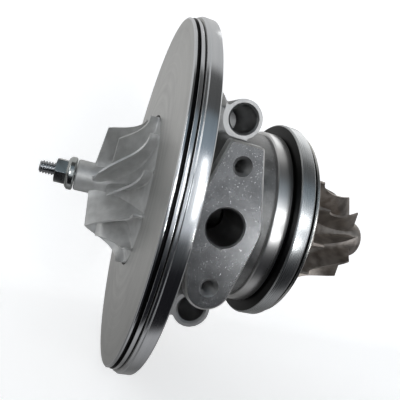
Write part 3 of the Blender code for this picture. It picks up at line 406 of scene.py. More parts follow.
# Backplate
disc = {"radius": 65.5, "thickness": 8.2, "seat": 7.7, "clampLand": 52.0, "chamfer": 0.4,
        "rim": [(0.0, 63.55), (0.35, 64.0), (0.85, 64.0), (0.85, 62.6), (1.85, 62.6),
                (1.85, 64.3), (2.95, 64.3), (3.05, 63.9), (3.35, 63.9), (3.4, 65.0),
                (4.15, 65.0), (4.35, 65.5)],
        "rimFrom": 62.4, "cornerFrom": 63.4, "cornerDepth": 0.3,
    "grooveShadeSpan": (0.86, 3.42, 62.0, 64.1),
        "recess": 29.1, "recessFloor": 2.3, "dish": 14.5, "hub": 9.3, "sealStart": 5.3,
        "sealEnd": 8.8, "sealBore": 8.2, "pocket": 11.5, "spigot": 21.3, "spigotEnd": 11.7,
    "ringGroove": (8.5, 10.9), "ringFloor": 19.2, "steps": 256, "edge": 0.12}


def backplateOutline():
    d = disc
    grooveStart, grooveEnd = d["ringGroove"]
    rim = [(0.0, d["recess"]), *d["rim"], (d["thickness"] - d["chamfer"], d["radius"]),
           (d["thickness"], d["radius"] - d["chamfer"])]
    rear = [(d["thickness"], d["clampLand"]), (d["seat"], d["clampLand"]),
            (d["seat"], d["spigot"]), (grooveStart, d["spigot"]), (grooveStart, d["ringFloor"]),
            (grooveEnd, d["ringFloor"]), (grooveEnd, d["spigot"]), (d["spigotEnd"], d["spigot"]),
            (d["spigotEnd"], d["pocket"]), (d["sealEnd"], d["pocket"]),
            (d["sealEnd"], d["sealBore"]), (d["sealStart"], d["sealBore"]),
            (d["sealStart"], d["hub"]), (d["recessFloor"], d["dish"]),
            (d["recessFloor"], d["recess"])]
    return rounded(rim + rear, d["edge"])


def buildBackplate():
    plate = dressed(turned("backplateDisc", backplateOutline(), disc["steps"]),
                    "discFace", "discRim", "paintedShadeIron")
    grooveStart, grooveEnd, floor, top = disc["grooveShadeSpan"]
    for face in plate.data.polygons:
        centre = face.center / mm
        radius = math.hypot(centre.y, centre.z)
        rim = radius > disc["rimFrom"] and abs(face.normal.x) < 0.95
        corner = radius > disc["cornerFrom"] and centre.x < disc["cornerDepth"]
        face.material_index = 1 if rim or corner else 0
        # Faces inside the rim grooves get the near-black iron, which paints the grooves' shade
        if grooveStart < centre.x < grooveEnd and floor < radius < top:
            face.material_index = 2
    shaded(plate.data)
    finished(plate, "cartridge", ["compressor_backplate"])


buildBackplate()
print("backplate done")


# Bladed wheels
def polar(x, radius, angle):
    # Angle 0 points to -Y, and a growing angle turns towards -Z
    return Vector((x, -radius * math.cos(angle), -radius * math.sin(angle)))


def leaned(factors, share):
    return sum(factor * share ** (i + 1) for i, factor in enumerate(factors))


def bladeMesh(name, blade, hubLine, tipLine, hubWrap, tipWrap, start=0.0):
    # One blade between its hub line and its tip line, with a fillet at its root and thin
    # edges
    columns, rows = blade["columns"], blade["rows"]
    shares = [start + (1 - start) * i / columns for i in range(columns + 1)]
    hub = [hubLine(s) for s in shares]
    tip = [tipLine(s) for s in shares]
    camber = []
    for i, share in enumerate(shares):
        line = []
        for j in range(rows + 1):
            span = (j / rows) ** blade["spacing"]
            x = hub[i][0] + (tip[i][0] - hub[i][0]) * span
            radius = hub[i][1] + (tip[i][1] - hub[i][1]) * span
            if j == 0:
                x += blade["sink"]
                radius -= abs(blade["sink"])
            line.append(polar(x, radius, hubWrap(share) * (1 - span) + tipWrap(share) * span))
        camber.append(line)
    bm = bmesh.new()
    sides = ([], [])
    for i, line in enumerate(camber):
        nose = min(1.0, blade["edge"] + (1 - blade["edge"]) * i / blade["edgeColumns"])
        tail = min(1.0, blade["edge"]
                   + (1 - blade["edge"]) * (columns - i) / blade["tailColumns"])
        for j, point in enumerate(line):
            along = camber[min(i + 1, columns)][j] - camber[max(i - 1, 0)][j]
            across = line[min(j + 1, rows)] - line[max(j - 1, 0)]
            normal = along.cross(across).normalized()
            span = (j / rows) ** blade["spacing"]
            half = (blade["root"] * (1 - span) + blade["tip"] * span) * min(nose, tail) / 2
            half += blade["fillet"] * max(0.0, 1 - span / blade["filletSpan"]) ** 2
            sides[0].append(bm.verts.new((point + normal * half) * mm))
            sides[1].append(bm.verts.new((point - normal * half) * mm))

    def spot(i, j):
        return i * (rows + 1) + j

    for i in range(columns):
        for j in range(rows):
            ring = (spot(i, j), spot(i, j + 1), spot(i + 1, j + 1), spot(i + 1, j))
            bm.faces.new([sides[0][k] for k in ring])
            bm.faces.new([sides[1][k] for k in reversed(ring)])
    border = [(spot(i, 0), spot(i + 1, 0)) for i in range(columns)]
    border += [(spot(columns, j), spot(columns, j + 1)) for j in range(rows)]
    border += [(spot(i + 1, rows), spot(i, rows)) for i in reversed(range(columns))]
    border += [(spot(0, j + 1), spot(0, j)) for j in reversed(range(rows))]
    for a, b in border:
        bm.faces.new((sides[0][a], sides[0][b], sides[1][b], sides[1][a]))
    bmesh.ops.recalc_face_normals(bm, faces=bm.faces)
    return meshOf(bm, name)


def bladeRingTree():
    # Repeats the blade round the shaft
    tree, entry, leave = group(
        "bladeRing", {"Geometry": "Geometry", "Count": "Int", "Clock": "Float",
                      "Finish": "Material"}, {"Geometry": "Geometry"}, "GeometryNodeTree")
    line = addNode(tree, "GeometryNodeMeshLine", {"Count": entry["Count"], "Offset": (0, 0, 0)})
    step = mathNode(tree, "DIVIDE", math.tau, entry["Count"])
    index = tree.nodes.new("GeometryNodeInputIndex").outputs[0]
    angle = mathNode(tree, "ADD", times(tree, index, step), entry["Clock"])
    turn = addNode(tree, "ShaderNodeCombineXYZ", {0: angle})
    copies = addNode(tree, "GeometryNodeInstanceOnPoints",
                     {"Points": line.outputs[0], "Instance": entry["Geometry"],
                      "Rotation": turn.outputs[0]})
    real = addNode(tree, "GeometryNodeRealizeInstances", {0: copies.outputs[0]})
    painted = addNode(tree, "GeometryNodeSetMaterial",
                      {"Geometry": real.outputs[0], "Material": entry["Finish"]})
    fill(tree, leave, {0: painted.outputs[0]})
    return tree


bladeRing = bladeRingTree()


def bladeSet(mesh, wheel, finish, offset=0.0):
    obj = newObject(mesh.name, mesh)
    step = obj.modifiers.new("bladeRing", "NODES")
    step.node_group = bladeRing
    values = {"Count": wheel["blades"], "Clock": math.radians(wheel["clock"] + offset),
              "Finish": finishes[finish]}
    for item in bladeRing.interface.items_tree:
        if item.name in values:
            step[item.identifier] = values[item.name]
    return baked(obj)


compressor = {"radius": 28.4, "inducerRadius": 20.6, "inducerX": -16.6, "rake": 1.5,
              "noseX": -24.0, "noseRadius": 5.8, "noseChamfer": 0.5, "shroudX": -3.2,
              "rimX": 0.1, "rimThickness": 1.1, "backRadius": 14.5, "bossRadius": 8.2,
              "bossX": 4.2, "bore": 2.8, "blades": 6, "clock": -13.0, "splitterStart": 0.20,
              "hubWrap": 44.0, "tipWrap": 37.0, "hubLean": (2.3, -2.3, 1.0),
              "tipLean": (1.9, -1.75, 0.85), "steps": 192, "hubPoints": 30,
              "noseEdge": 0.15, "backEdge": 0.1, "margin": 0.1, "sharpAngle": 40}
compressorBlade = {"columns": 26, "rows": 9, "root": 1.5, "tip": 0.7, "fillet": 0.8,
                   "filletSpan": 0.16, "sink": 0.6, "edge": 0.4, "edgeColumns": 2,
                   "tailColumns": 2, "spacing": 1.35}


def buildCompressorWheel():
    w = compressor
    hubStart = (w["inducerX"] - w["rake"], w["noseRadius"])
    rimBack = w["rimX"] + w["rimThickness"]
    outline = rounded([(w["noseX"], w["bore"]), (w["noseX"], w["noseRadius"] - w["noseChamfer"]),
                       (w["noseX"] + w["noseChamfer"], w["noseRadius"])],
                      w["noseEdge"], False)
    outline += quarter(hubStart, (w["rimX"], w["radius"]), False, w["hubPoints"])
    outline += rounded([(w["rimX"] + w["margin"], w["radius"]), (rimBack, w["radius"]),
                        (rimBack, w["backRadius"]), (w["bossX"], w["bossRadius"]),
                        (w["bossX"], w["bore"])], w["backEdge"], False)
    hub = turned("compressorHub", outline, w["steps"])
    bladeReach = w["radius"] - w["margin"]

    def hubLine(share):
        return ellipsePoint(hubStart, (w["rimX"], bladeReach), False, share)

    def tipLine(share):
        return ellipsePoint((w["inducerX"], w["inducerRadius"]), (w["shroudX"], bladeReach),
                            False, share)

    def hubWrap(share):
        return math.radians(w["hubWrap"] * (1 - leaned(w["hubLean"], share)) - w["tipWrap"])

    def tipWrap(share):
        return math.radians(-w["tipWrap"] * leaned(w["tipLean"], share))

    full = bladeSet(bladeMesh("fullBlades", compressorBlade, hubLine, tipLine, hubWrap, tipWrap),
                    w, "castAluminium")
    short = bladeSet(bladeMesh("splitterBlades", compressorBlade, hubLine, tipLine, hubWrap,
                               tipWrap, w["splitterStart"]), w, "castAluminium",
                     180 / w["blades"])
    wheel = dressed(joined("compressorWheel", [hub, full, short]), "castAluminium")
    shaded(wheel.data, w["sharpAngle"])
    finished(wheel, "rotor", ["compressor_wheel"])


buildCompressorWheel()
print("compressor wheel done")


turbine = {"radius": 24.3, "backX": 62.0, "discThickness": 1.6, "inletWidth": 5.2,
           "exitX": 86.0, "exitRadius": 18.4, "hubExitX": 91.0, "hubRadius": 7.8,
           "noseEnd": 97.3, "noseRound": 4.0, "bossStart": 58.9, "bossRadius": 8.2,
           "blades": 11, "clock": 4.3, "wrap": 16.2, "wrapPower": 4, "scallopRadius": 4.2,
           "scallopOffset": 1.0, "scallopReach": 2.5, "steps": 264, "hubPoints": 26,
           "nosePoints": 8, "backRadii": (16, 19, 20.5, 21.5, 22.5, 23.5), "edge": 0.2,
           "bossFillet": (0.4, 3.0), "centreHole": ((0, 2.4), (0.9, 1.4), (2.0, 0)),
           "margin": 0.1, "sharpAngle": 40}
turbineBlade = {"columns": 26, "rows": 9, "root": 1.9, "tip": 0.95, "fillet": 0.9,
                "filletSpan": 0.15, "sink": -0.6, "edge": 0.6, "edgeColumns": 1,
                "tailColumns": 2, "spacing": 1.35}


def buildTurbineWheel():
    w = turbine
    discEnd = w["backX"] + w["discThickness"]
    hubEnd = (w["hubExitX"], w["hubRadius"])
    centre = w["radius"] + w["scallopOffset"]

    def scalloped(x, radius, turn):
        # Half way between two blades the rim is cut away by a circle
        pitch = math.tau / w["blades"]
        off = (turn - math.radians(w["clock"])) % pitch - pitch / 2
        side = centre * math.sin(off)
        if x > discEnd + w["scallopReach"] or abs(side) > w["scallopRadius"]:
            return radius
        floor = centre * math.cos(off) - math.sqrt(w["scallopRadius"] ** 2 - side ** 2)
        return min(radius, floor)

    outline = [(w["bossStart"], 0), (w["bossStart"], w["bossRadius"])]
    outline += [(w["backX"], w["bossRadius"] + rise) for rise in w["bossFillet"]]
    outline += [(w["backX"], radius) for radius in w["backRadii"]]
    outline += [(w["backX"], w["radius"] - w["edge"]), (w["backX"] + w["edge"], w["radius"]),
                (discEnd - w["edge"], w["radius"])]
    outline += quarter((discEnd, w["radius"]), hubEnd, True, w["hubPoints"])
    outline += quarter((w["noseEnd"] - w["noseRound"], w["hubRadius"]),
                       (w["noseEnd"], w["hubRadius"] - w["noseRound"]), False,
                       w["nosePoints"])
    outline += [(w["noseEnd"] - depth, radius) for depth, radius in w["centreHole"]]
    hub = turned("turbineHub", outline, w["steps"], scalloped)

    def wrap(share):
        return math.radians(-w["wrap"] * share ** w["wrapPower"])

    def hubLine(share):
        return ellipsePoint((discEnd, w["radius"] - w["margin"]), hubEnd, True, share)

    def tipLine(share):
        return ellipsePoint((discEnd + w["inletWidth"], w["radius"] - w["margin"]),
                            (w["exitX"], w["exitRadius"]), True, share)

    blades = bladeSet(bladeMesh("turbineBlades", turbineBlade, hubLine, tipLine, wrap, wrap),
                      w, "castAlloy")
    wheel = dressed(joined("turbineWheel", [hub, blades]), "castAlloy")
    shaded(wheel.data, w["sharpAngle"])
    finished(wheel, "rotor", ["turbine_wheel"])


buildTurbineWheel()
print("turbine wheel done")


# Shaft and nut
shaft = {"tip": -36.9, "radius": 2.5, "chamfer": 0.7, "threadEnd": -24.4, "pitch": 1.0,
         "threadDepth": 0.6, "rowsPerPitch": 8, "steps": 64, "shoulder": 18.3,
         "journal": 3.1, "sealStart": 53.2, "sealRadius": 8.0, "groove": (55.1, 56.9),
         "grooveFloor": 6.8, "end": 58.6, "tipInset": 0.5, "threadRunOut": 0.5,
         "threadShift": 0.02, "sharpAngle": 50}
threadShape = {"slope": 1.35, "crest": 0.12}
nut = {"start": -31.3, "flangeStart": -27.3, "end": -24.3, "flats": 8.5, "flange": 6.2,
       "chamfer": 0.5, "bore": 2.8, "steps": 128, "edge": 0.18, "overlap": 0.5,
       "crownInset": 0.1, "crownDepth": 0.55, "crownRoom": 0.3, "coneStart": 0.2,
       "coneDepth": 0.5, "flangeRise": 1.1, "rearChamfer": 0.4, "flare": (0.8, 0.5),
       "flareStart": 0.01, "flareDepth": 0.5, "bevelShare": 0.6, "bevelAngle": 35,
       "sharpAngle": 30}


def threadWave(x, turn, pitch):
    # 0 at the thread's crest and 1 at its root
    phase = (x / pitch - turn / math.tau) % 1.0
    return min(1.0, max(0.0, threadShape["slope"] * abs(2 * phase - 1) - threadShape["crest"]))


def buildShaft():
    s = shaft
    rows = round((s["threadEnd"] - s["tip"]) / s["pitch"] * s["rowsPerPitch"])
    outline = [(s["tip"], 0), (s["tip"], s["radius"] - s["chamfer"] - s["tipInset"])]
    for i in range(rows + 1):
        x = s["tip"] + (s["threadEnd"] - s["tip"]) * i / rows
        outline.append((x + s["threadShift"],
                        min(s["radius"], s["radius"] - s["chamfer"] + x - s["tip"])))

    def threaded(x, radius, turn):
        if x > s["threadEnd"] or radius < s["radius"] - s["chamfer"]:
            return radius
        return min(radius, s["radius"] - s["threadDepth"] * threadWave(x, turn, s["pitch"]))

    grooveStart, grooveEnd = s["groove"]
    outline += [(s["threadEnd"] + s["threadRunOut"], s["radius"]), (s["shoulder"], s["radius"]),
                (s["shoulder"], s["journal"]), (s["sealStart"], s["journal"]),
                (s["sealStart"], s["sealRadius"]), (grooveStart, s["sealRadius"]),
                (grooveStart, s["grooveFloor"]), (grooveEnd, s["grooveFloor"]),
                (grooveEnd, s["sealRadius"]), (s["end"], s["sealRadius"]), (s["end"], 0)]
    rod = dressed(turned("rotorShaft", outline, s["steps"], threaded), "groundSteel")
    shaded(rod.data, s["sharpAngle"])
    finished(rod, "rotor", ["rotor_shaft"])


def buildNut():
    n = nut
    corner = n["flats"] / math.sqrt(3)
    start, end, join = n["start"], n["end"], n["flangeStart"] + n["overlap"]
    wide, rear = corner + n["crownRoom"], n["rearChamfer"]
    hexagon = turned("nutHexagon", [(start, 0), (start, corner), (join, corner), (join, 0)], 6)
    crown = turned("nutCrown", [(start, 0), (start, n["flats"] / 2 - n["crownInset"]),
                                (start + n["crownDepth"], wide), (end, wide), (end, 0)],
                   n["steps"])
    combined(hexagon, crown, "INTERSECT")
    flange = turned("nutFlange", rounded([
        (n["flangeStart"], 0), (n["flangeStart"], corner + n["coneStart"]),
        (n["flangeStart"] + n["coneDepth"], n["flange"] - n["chamfer"]),
        (n["flangeStart"] + n["flangeRise"], n["flange"]), (end - rear, n["flange"]),
        (end, n["flange"] - rear), (end, 0)], n["edge"]), n["steps"])
    combined(flange, hexagon, "UNION")
    outer, inner = (n["bore"] + flare for flare in n["flare"])
    bore = turned("nutBore", [(start - 1, 0), (start - 1, outer),
                              (start - n["flareStart"], inner),
                              (start + n["flareDepth"], n["bore"]), (end + 1, n["bore"]),
                              (end + 1, 0)], n["steps"])
    combined(flange, bore)
    flange.name = "compressorNut"
    bevel = flange.modifiers.new("edges", "BEVEL")
    bevel.width = n["edge"] * n["bevelShare"] * mm
    bevel.segments = 2
    bevel.limit_method = "ANGLE"
    bevel.angle_limit = math.radians(n["bevelAngle"])
    shaded(dressed(baked(flange), "nutSteel").data, n["sharpAngle"])
    finished(flange, "rotor", ["compressor_nut"])


buildShaft()
buildNut()
print("shaft and nut done")


# Heat shield
shield = {"front": 54.8, "sheet": 1.0, "lip": 37.2, "cup": 27.0, "depth": 5.9,
          "corner": 2.4, "hole": 9.8, "edge": 0.3, "steps": 224, "bendPoints": 8,
          "gapShadeDepth": 0.2}


def buildShield():
    s = shield
    front, sheet, corner, points = s["front"], s["sheet"], s["corner"], s["bendPoints"]
    floor, edge = front + s["depth"], s["edge"]
    outline = [(front, s["lip"] - edge), (front + edge, s["lip"]),
               (front + sheet - edge, s["lip"]), (front + sheet, s["lip"] - edge)]
    outline += quarter((front + sheet, s["cup"] + corner), (front + sheet + corner, s["cup"]),
                       True, points)
    outline += quarter((floor - corner, s["cup"]), (floor, s["cup"] - corner), False, points)
    outline += [(floor, s["hole"]), (floor - sheet, s["hole"])]
    outline += quarter((floor - sheet, s["cup"] - corner), (floor - corner, s["cup"] - sheet),
                       True, points)
    outline += quarter((front + sheet + corner, s["cup"] - sheet), (front, s["cup"] + corner),
                       False, points)
    cup = dressed(turned("heatShield", outline, s["steps"]), "shieldSheet", "paintedShadeIron")
    # The lip's front face, in the gap behind the turbine flange, gets the near-black iron:
    # painted shade
    for face in cup.data.polygons:
        paintedGapShade = face.normal.x < -0.9 and face.center.x / mm < front + s["gapShadeDepth"]
        face.material_index = 1 if paintedGapShade else 0
    shaded(cup.data)
    finished(cup, "cartridge", ["heat_shield"])


buildShield()
print("heat shield done")


# Bearing housing
housing = {"front": 8.0, "flangeRadius": 45.0, "flangeEnd": 18.0, "flat": 27.0,
           "shoulder": (20.5, 42.0), "bodyStart": 24.0, "bodyRadius": 33.0,
           "neckStart": 41.6, "neckRadius": 34.3, "flangeStart": 47.8, "turbineFlange": 38.8,
           "turbineFlangeEnd": 53.2, "pilot": 33.0, "pilotEnd": 54.5, "noseBase": 25.5,
           "noseTip": 12.2, "noseEnd": 58.4, "voxel": 0.62, "smooth": 4, "steps": 160,
           "shrink": 0.5, "edge": 0.8, "overlap": 2.0, "soften": 0.5, "sharpAngle": 38}
neckRing = {"lead": 0.4, "sink": 3.0, "edge": 0.5, "rise": 0.1, "undercut": 0.8,
            "undercutEnd": 0.7, "noseWall": 2.2, "wall": 2.0, "wallSink": 3.0,
            "rounding": 0.15, "steps": 256, "shadeStart": 0.76, "shadeEnd": 0.02,
            "pilotFrom": 0.05}
drain = {"x": 22.6, "face": 43.6, "root": 20.0, "hole": 5.9, "pad": 11.7, "bolts": 38.0,
         "end": 7.2, "topWidth": 9.0, "topReach": 5.8, "corner": 1.0, "draft": 6.0,
         "chamfer": 0.55, "thread": 2.5, "threadDepth": 12.0, "pitch": 1.0, "head": 2.2,
         "skirt": 0.6, "headSink": 2.0, "headGrow": 0.05, "mouth": 0.5, "holeDepth": 24.1,
         "steps": (64, 48, 16), "holeSteps": 96, "flatAngle": 0.5, "bevelAngle": 60}
coolant = {"x": 25.4, "offset": 34.3, "face": 24.0, "back": 8.0, "radius": 6.8, "bore": 4.8,
           "depth": 24.0, "mouth": 5.5, "mouthDepth": 0.6, "proud": 0.6, "margin": 1.4,
           "domePoints": 10, "steps": 80, "boreSteps": 72}
inlet = {"x": 28.0, "face": 40.0, "radius": 11.0, "root": 20.0, "thread": 5.2, "depth": 9.0,
         "pitch": 1.25, "sunk": 0.3, "margin": 1.0, "steps": 96, "faceSteps": 80}
inside = {"tube": 7.0, "cavity": 21.0, "cavityStart": 21.0, "cavityEnd": 46.5,
          "tubeGap": (32.2, 36.8), "tubeEnd": 51.0, "chamber": 12.5, "chamberEnd": 53.6,
          "rib": 9.0, "pocket": 21.6, "pocketFloor": 16.2, "collar": 10.5, "collarEnd": 18.5,
          "bore": 5.1, "seal": 8.6, "inBore": 0.3, "steps": 96}
threadCutter = {"above": 1.5, "chamfer": 0.6, "leadIn": 0.8, "depth": 0.45, "rows": 8,
                "steps": 48}


def hullPad(name, top, bottom, grow=0.0):
    # The drain pad between two heights above the shaft, as the hull of round columns
    d = drain
    draft = math.tan(math.radians(d["draft"]))
    bolt = d["bolts"] / 2
    corner = bolt + d["topReach"]
    steps = d["steps"]
    columns = [(0, 0, d["pad"], steps[0]), (0, -bolt, d["end"], steps[1])]
    columns += [(x, corner, d["corner"], steps[2])
                for x in (-d["topWidth"] / 2, d["topWidth"] / 2)]
    bm = bmesh.new()
    for x, z, radius, count in columns:
        for height in (top, bottom):
            wide = radius + (d["face"] - height) * draft + grow
            for i in range(count):
                turn = math.tau * i / count
                bm.verts.new(Vector((d["x"] + x + wide * math.cos(turn), -height,
                                     z + wide * math.sin(turn))) * mm)
    bmesh.ops.convex_hull(bm, input=bm.verts[:])
    bmesh.ops.delete(bm, geom=[v for v in bm.verts if not v.link_faces], context="VERTS")
    bmesh.ops.dissolve_limit(bm, angle_limit=math.radians(d["flatAngle"]), verts=bm.verts[:],
                             edges=bm.edges[:])
    bmesh.ops.recalc_face_normals(bm, faces=bm.faces)
    return newObject(name, meshOf(bm, name))


def sunk(obj, x, face, z=0.0):
    # Turns a shape that was made along X so that it runs inward from a face above the
    # shaft, or below it where the face's height is negative
    return place(obj, (x, -face, z), (0, math.copysign(1, face), 0))


def threadedHole(name, radius, depth, pitch):
    # A cutter along X with a thread on its wall
    t = threadCutter
    chamfer, rows = t["chamfer"], max(8, round(depth / pitch * t["rows"]))
    outline = [(-t["above"], 0), (-t["above"], radius + chamfer), (0.0, radius + chamfer),
               (chamfer * t["leadIn"], radius)]
    outline += [(chamfer + (depth - chamfer) * i / rows, radius) for i in range(1, rows + 1)]
    outline += [(depth + radius / 2, 0)]

    def threaded(x, here, turn):
        if x < chamfer or x > depth or here < radius:
            return here
        return here - t["depth"] * threadWave(x, turn, pitch)

    return turned(name, outline, t["steps"], threaded)


def castBody():
    # Overlapping shapes that are melted together, which leaves the fillets of a casting
    h, c, i = housing, coolant, inlet
    reach = h["flangeRadius"] + h["overlap"]
    inner, pilotEnd, noseEnd = (h["bodyRadius"] - h["overlap"], h["pilotEnd"] - h["shrink"],
                                h["noseEnd"] - h["shrink"])
    body = turned("castCore", [
        (h["front"], 0), (h["front"], h["flangeRadius"] - h["edge"]),
        (h["front"] + h["edge"], h["flangeRadius"]), (h["flangeEnd"], h["flangeRadius"]),
        h["shoulder"], (h["bodyStart"], h["bodyRadius"]), (h["neckStart"] + 1, h["bodyRadius"]),
        (h["flangeStart"], inner), (pilotEnd, inner), (pilotEnd, h["noseBase"] - h["shrink"]),
        (noseEnd, h["noseTip"] - h["shrink"]), (noseEnd, 0)], h["steps"])
    for side in (-1, 1):
        low, high = sorted((side * h["flat"], side * reach))
        combined(body, boxShape("flat", (h["front"] - 1, low, -reach),
                                (h["bodyStart"], high, reach)))
    parts = [body, hullPad("padSkirt", drain["face"] - drain["head"] + drain["skirt"],
                           drain["root"])]
    height = i["face"] - i["root"]
    foot = i["radius"] + math.tan(math.radians(drain["draft"])) * height
    parts.append(sunk(turned("inletBoss", [(i["sunk"], 0), (i["sunk"], i["radius"]),
                                           (height, foot), (height, 0)], i["steps"]),
                      i["x"], -i["face"]))
    barrel = c["face"] + c["back"] - c["radius"]
    dome = quarter((barrel, c["radius"]), (barrel + c["radius"], 0), False, c["domePoints"])
    for side in (-1, 1):
        parts.append(sunk(turned("coolantBoss", [(-c["proud"], 0), (-c["proud"], c["radius"]),
                                                 *dome], c["steps"]),
                          c["x"], c["face"], side * c["offset"]))
    cast = joined("bearingHousing", parts)
    melt = cast.modifiers.new("melt", "REMESH")
    melt.mode = "VOXEL"
    melt.voxel_size = h["voxel"] * mm
    soften = cast.modifiers.new("soften", "SMOOTH")
    soften.factor = h["soften"]
    soften.iterations = h["smooth"]
    return baked(cast)


def padHead():
    # The machined head of the drain pad, with a milled chamfer round its face
    d = drain
    head = hullPad("padHead", d["face"], d["face"] - d["head"] - d["headSink"], d["headGrow"])
    bevel = head.modifiers.new("chamfer", "BEVEL")
    bevel.width = d["chamfer"] * mm
    bevel.segments = 1
    bevel.limit_method = "ANGLE"
    bevel.angle_limit = math.radians(d["bevelAngle"])
    return baked(head)


def innerCutters():
    # The thrust pocket, the bearing bore and the oil space, as in the CAD
    c, h = inside, housing
    front, noseEnd, tubeEnd = h["front"] - 1, h["noseEnd"] + 1, c["tubeEnd"] + 1
    pocket = turned("pocket", [
        (front, 0), (front, c["pocket"]), (c["pocketFloor"], c["pocket"]),
        (c["pocketFloor"], c["collar"]), (c["collarEnd"], c["collar"]),
        (c["collarEnd"], c["bore"]), (tubeEnd, c["bore"]), (tubeEnd, c["seal"]),
        (noseEnd, c["seal"]), (noseEnd, 0)], c["steps"])
    gapStart, gapEnd = c["tubeGap"]
    inBore = c["bore"] - c["inBore"]
    cavity = turned("cavity", [
        (c["cavityStart"], c["cavity"]), (c["cavityEnd"], c["cavity"]),
        (c["chamberEnd"], c["chamber"]), (c["chamberEnd"], inBore), (c["tubeEnd"], inBore),
        (c["tubeEnd"], c["tube"]), (gapEnd, c["tube"]), (gapEnd, inBore), (gapStart, inBore),
        (gapStart, c["tube"]), (c["cavityStart"], c["tube"])], c["steps"])
    combined(cavity, boxShape("rib", (c["cavityStart"] - 1, 0, -c["rib"] / 2),
                              (c["tubeEnd"], c["cavity"] + 1, c["rib"] / 2)))
    return [pocket, cavity]


def outerCutters():
    # The drain hole, the threads and bores of the ports, and their machined faces
    d, c, i = drain, coolant, inlet
    made = [sunk(turned("drainHole", [
        (-2, 0), (-2, d["hole"] + d["mouth"]), (0, d["hole"] + d["mouth"]),
        (d["mouth"], d["hole"]), (d["holeDepth"], d["hole"]), (d["holeDepth"], 0)],
        d["holeSteps"]), d["x"], d["face"])]
    for side in (-1, 1):
        made.append(sunk(threadedHole("drainThread", d["thread"], d["threadDepth"], d["pitch"]),
                         d["x"], d["face"], side * d["bolts"] / 2))
        wide = c["radius"] + c["margin"]
        made.append(sunk(turned("coolantFace", [(-4, 0), (-4, wide), (0, wide), (0, 0)],
                                c["steps"]), c["x"], c["face"], side * c["offset"]))
        made.append(sunk(turned("coolantBore", [
            (-2, 0), (-2, c["mouth"]), (0, c["mouth"]), (c["mouthDepth"], c["bore"]),
            (c["depth"], c["bore"]), (c["depth"] + 2, 0)], c["boreSteps"]),
            c["x"], c["face"], side * c["offset"]))
    wide = i["radius"] + i["margin"]
    made.append(sunk(turned("inletFace", [(-3, 0), (-3, wide), (0, wide), (0, 0)],
                            i["faceSteps"]), i["x"], -i["face"]))
    made.append(sunk(threadedHole("inletThread", i["thread"], i["depth"], i["pitch"]),
                     i["x"], -i["face"]))
    made.append(boxShape("frontFace", (0, -60, -60), (housing["front"], 60, 60)))
    return made


def buildHousing():
    slots = ("castIron", "machinedIron", "padFace", "turnedNeck")
    cast = dressed(castBody(), *slots)
    head = dressed(padHead(), *slots)
    for face in head.data.polygons:
        face.material_index = 2 if face.normal.y < -0.95 else 3
    combined(cast, head, "UNION")
    for cutter in innerCutters() + outerCutters():
        inner = cutter.name.startswith(("cavity", "pocket"))
        for face in dressed(cutter, *slots).data.polygons:
            face.material_index = 0 if inner else 1
        combined(cast, cutter)
    shaded(cast.data, housing["sharpAngle"])
    finished(cast, "cartridge", ["bearing_housing"])
    return cast


def buildNeck():
    # The turned neck, the turbine flange and the pilot, with the undercuts between them
    h, r = housing, neckRing
    neck, flange, edge = h["neckRadius"], h["turbineFlange"], r["edge"]
    neckStart, flangeStart, flangeEnd = h["neckStart"], h["flangeStart"], h["turbineFlangeEnd"]
    floor = neck - r["undercut"]
    outline = rounded([
        (neckStart - r["lead"], neck - r["sink"]), (neckStart - r["lead"], neck - edge),
        (neckStart + r["rise"], neck), (flangeStart - r["undercut"], neck),
        (flangeStart - r["undercutEnd"], floor), (flangeStart, floor),
        (flangeStart, flange - edge), (flangeStart + edge, flange),
        (flangeEnd - edge, flange), (flangeEnd, flange - edge), (flangeEnd, h["pilot"]),
        (h["pilotEnd"], h["pilot"]), (h["pilotEnd"], h["noseBase"]),
        (h["noseEnd"], h["noseTip"]), (h["noseEnd"], h["noseTip"] - r["noseWall"]),
        (h["pilotEnd"] - r["wall"], h["noseBase"] - r["wallSink"])], r["rounding"])
    ring = dressed(turned("turbineFlange", outline, r["steps"]),
                   "turnedNeck", "turnedFlange", "machinedIron", "paintedShadeIron")
    for face in ring.data.polygons:
        x = face.center.x / mm
        face.material_index = 0 if x < flangeStart - r["shadeStart"] else 1
        # The undercut and the flange's front annulus get the near-black iron: painted shade
        if flangeStart - r["shadeStart"] < x < flangeStart + r["shadeEnd"]:
            face.material_index = 3
        if x > flangeEnd + r["pilotFrom"]:
            face.material_index = 2
    shaded(ring.data)
    finished(ring, "cartridge")


castHousing = buildHousing()
buildNeck()
print("bearing housing done:", len(castHousing.data.polygons), "faces")


# Inner pieces that stay as the CAD has them
circlips = ["%s_journal_%s_circlip" % (bush, end) for bush in ("compressor", "turbine")
            for end in ("front", "rear")]
innerFinish = {
    "nutSteel": ["backplate_screw_%d" % i for i in range(1, 5)] + circlips
    + ["compressor_seal_ring", "turbine_seal_ring"],
    "groundSteel": ["lower_thrust_pin", "upper_thrust_pin", "gallery_plug", "oil_flinger",
                    "thrust_collar"],
    "bearingBronze": ["thrust_bearing", "compressor_journal_bearing",
                      "turbine_journal_bearing"],
    "shieldSheet": ["oil_deflector"], "sealRubber": ["backplate_o_ring"]}
for finish, names in innerFinish.items():
    for name in names:
        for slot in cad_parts[name].material_slots:
            slot.material = finishes[finish]
print("inner pieces finished:", sum(len(names) for names in innerFinish.values()))


# Floor, light and camera
studio = {"reach": 3.0, "wall": 70.0, "cove": 30.0, "coveSteps": 8, "colour": 0.80,
          "glow": 0.57, "backdropWhite": 1.0, "roughness": 0.9,
          "lampsAim": (0.03, -0.04, 0)}
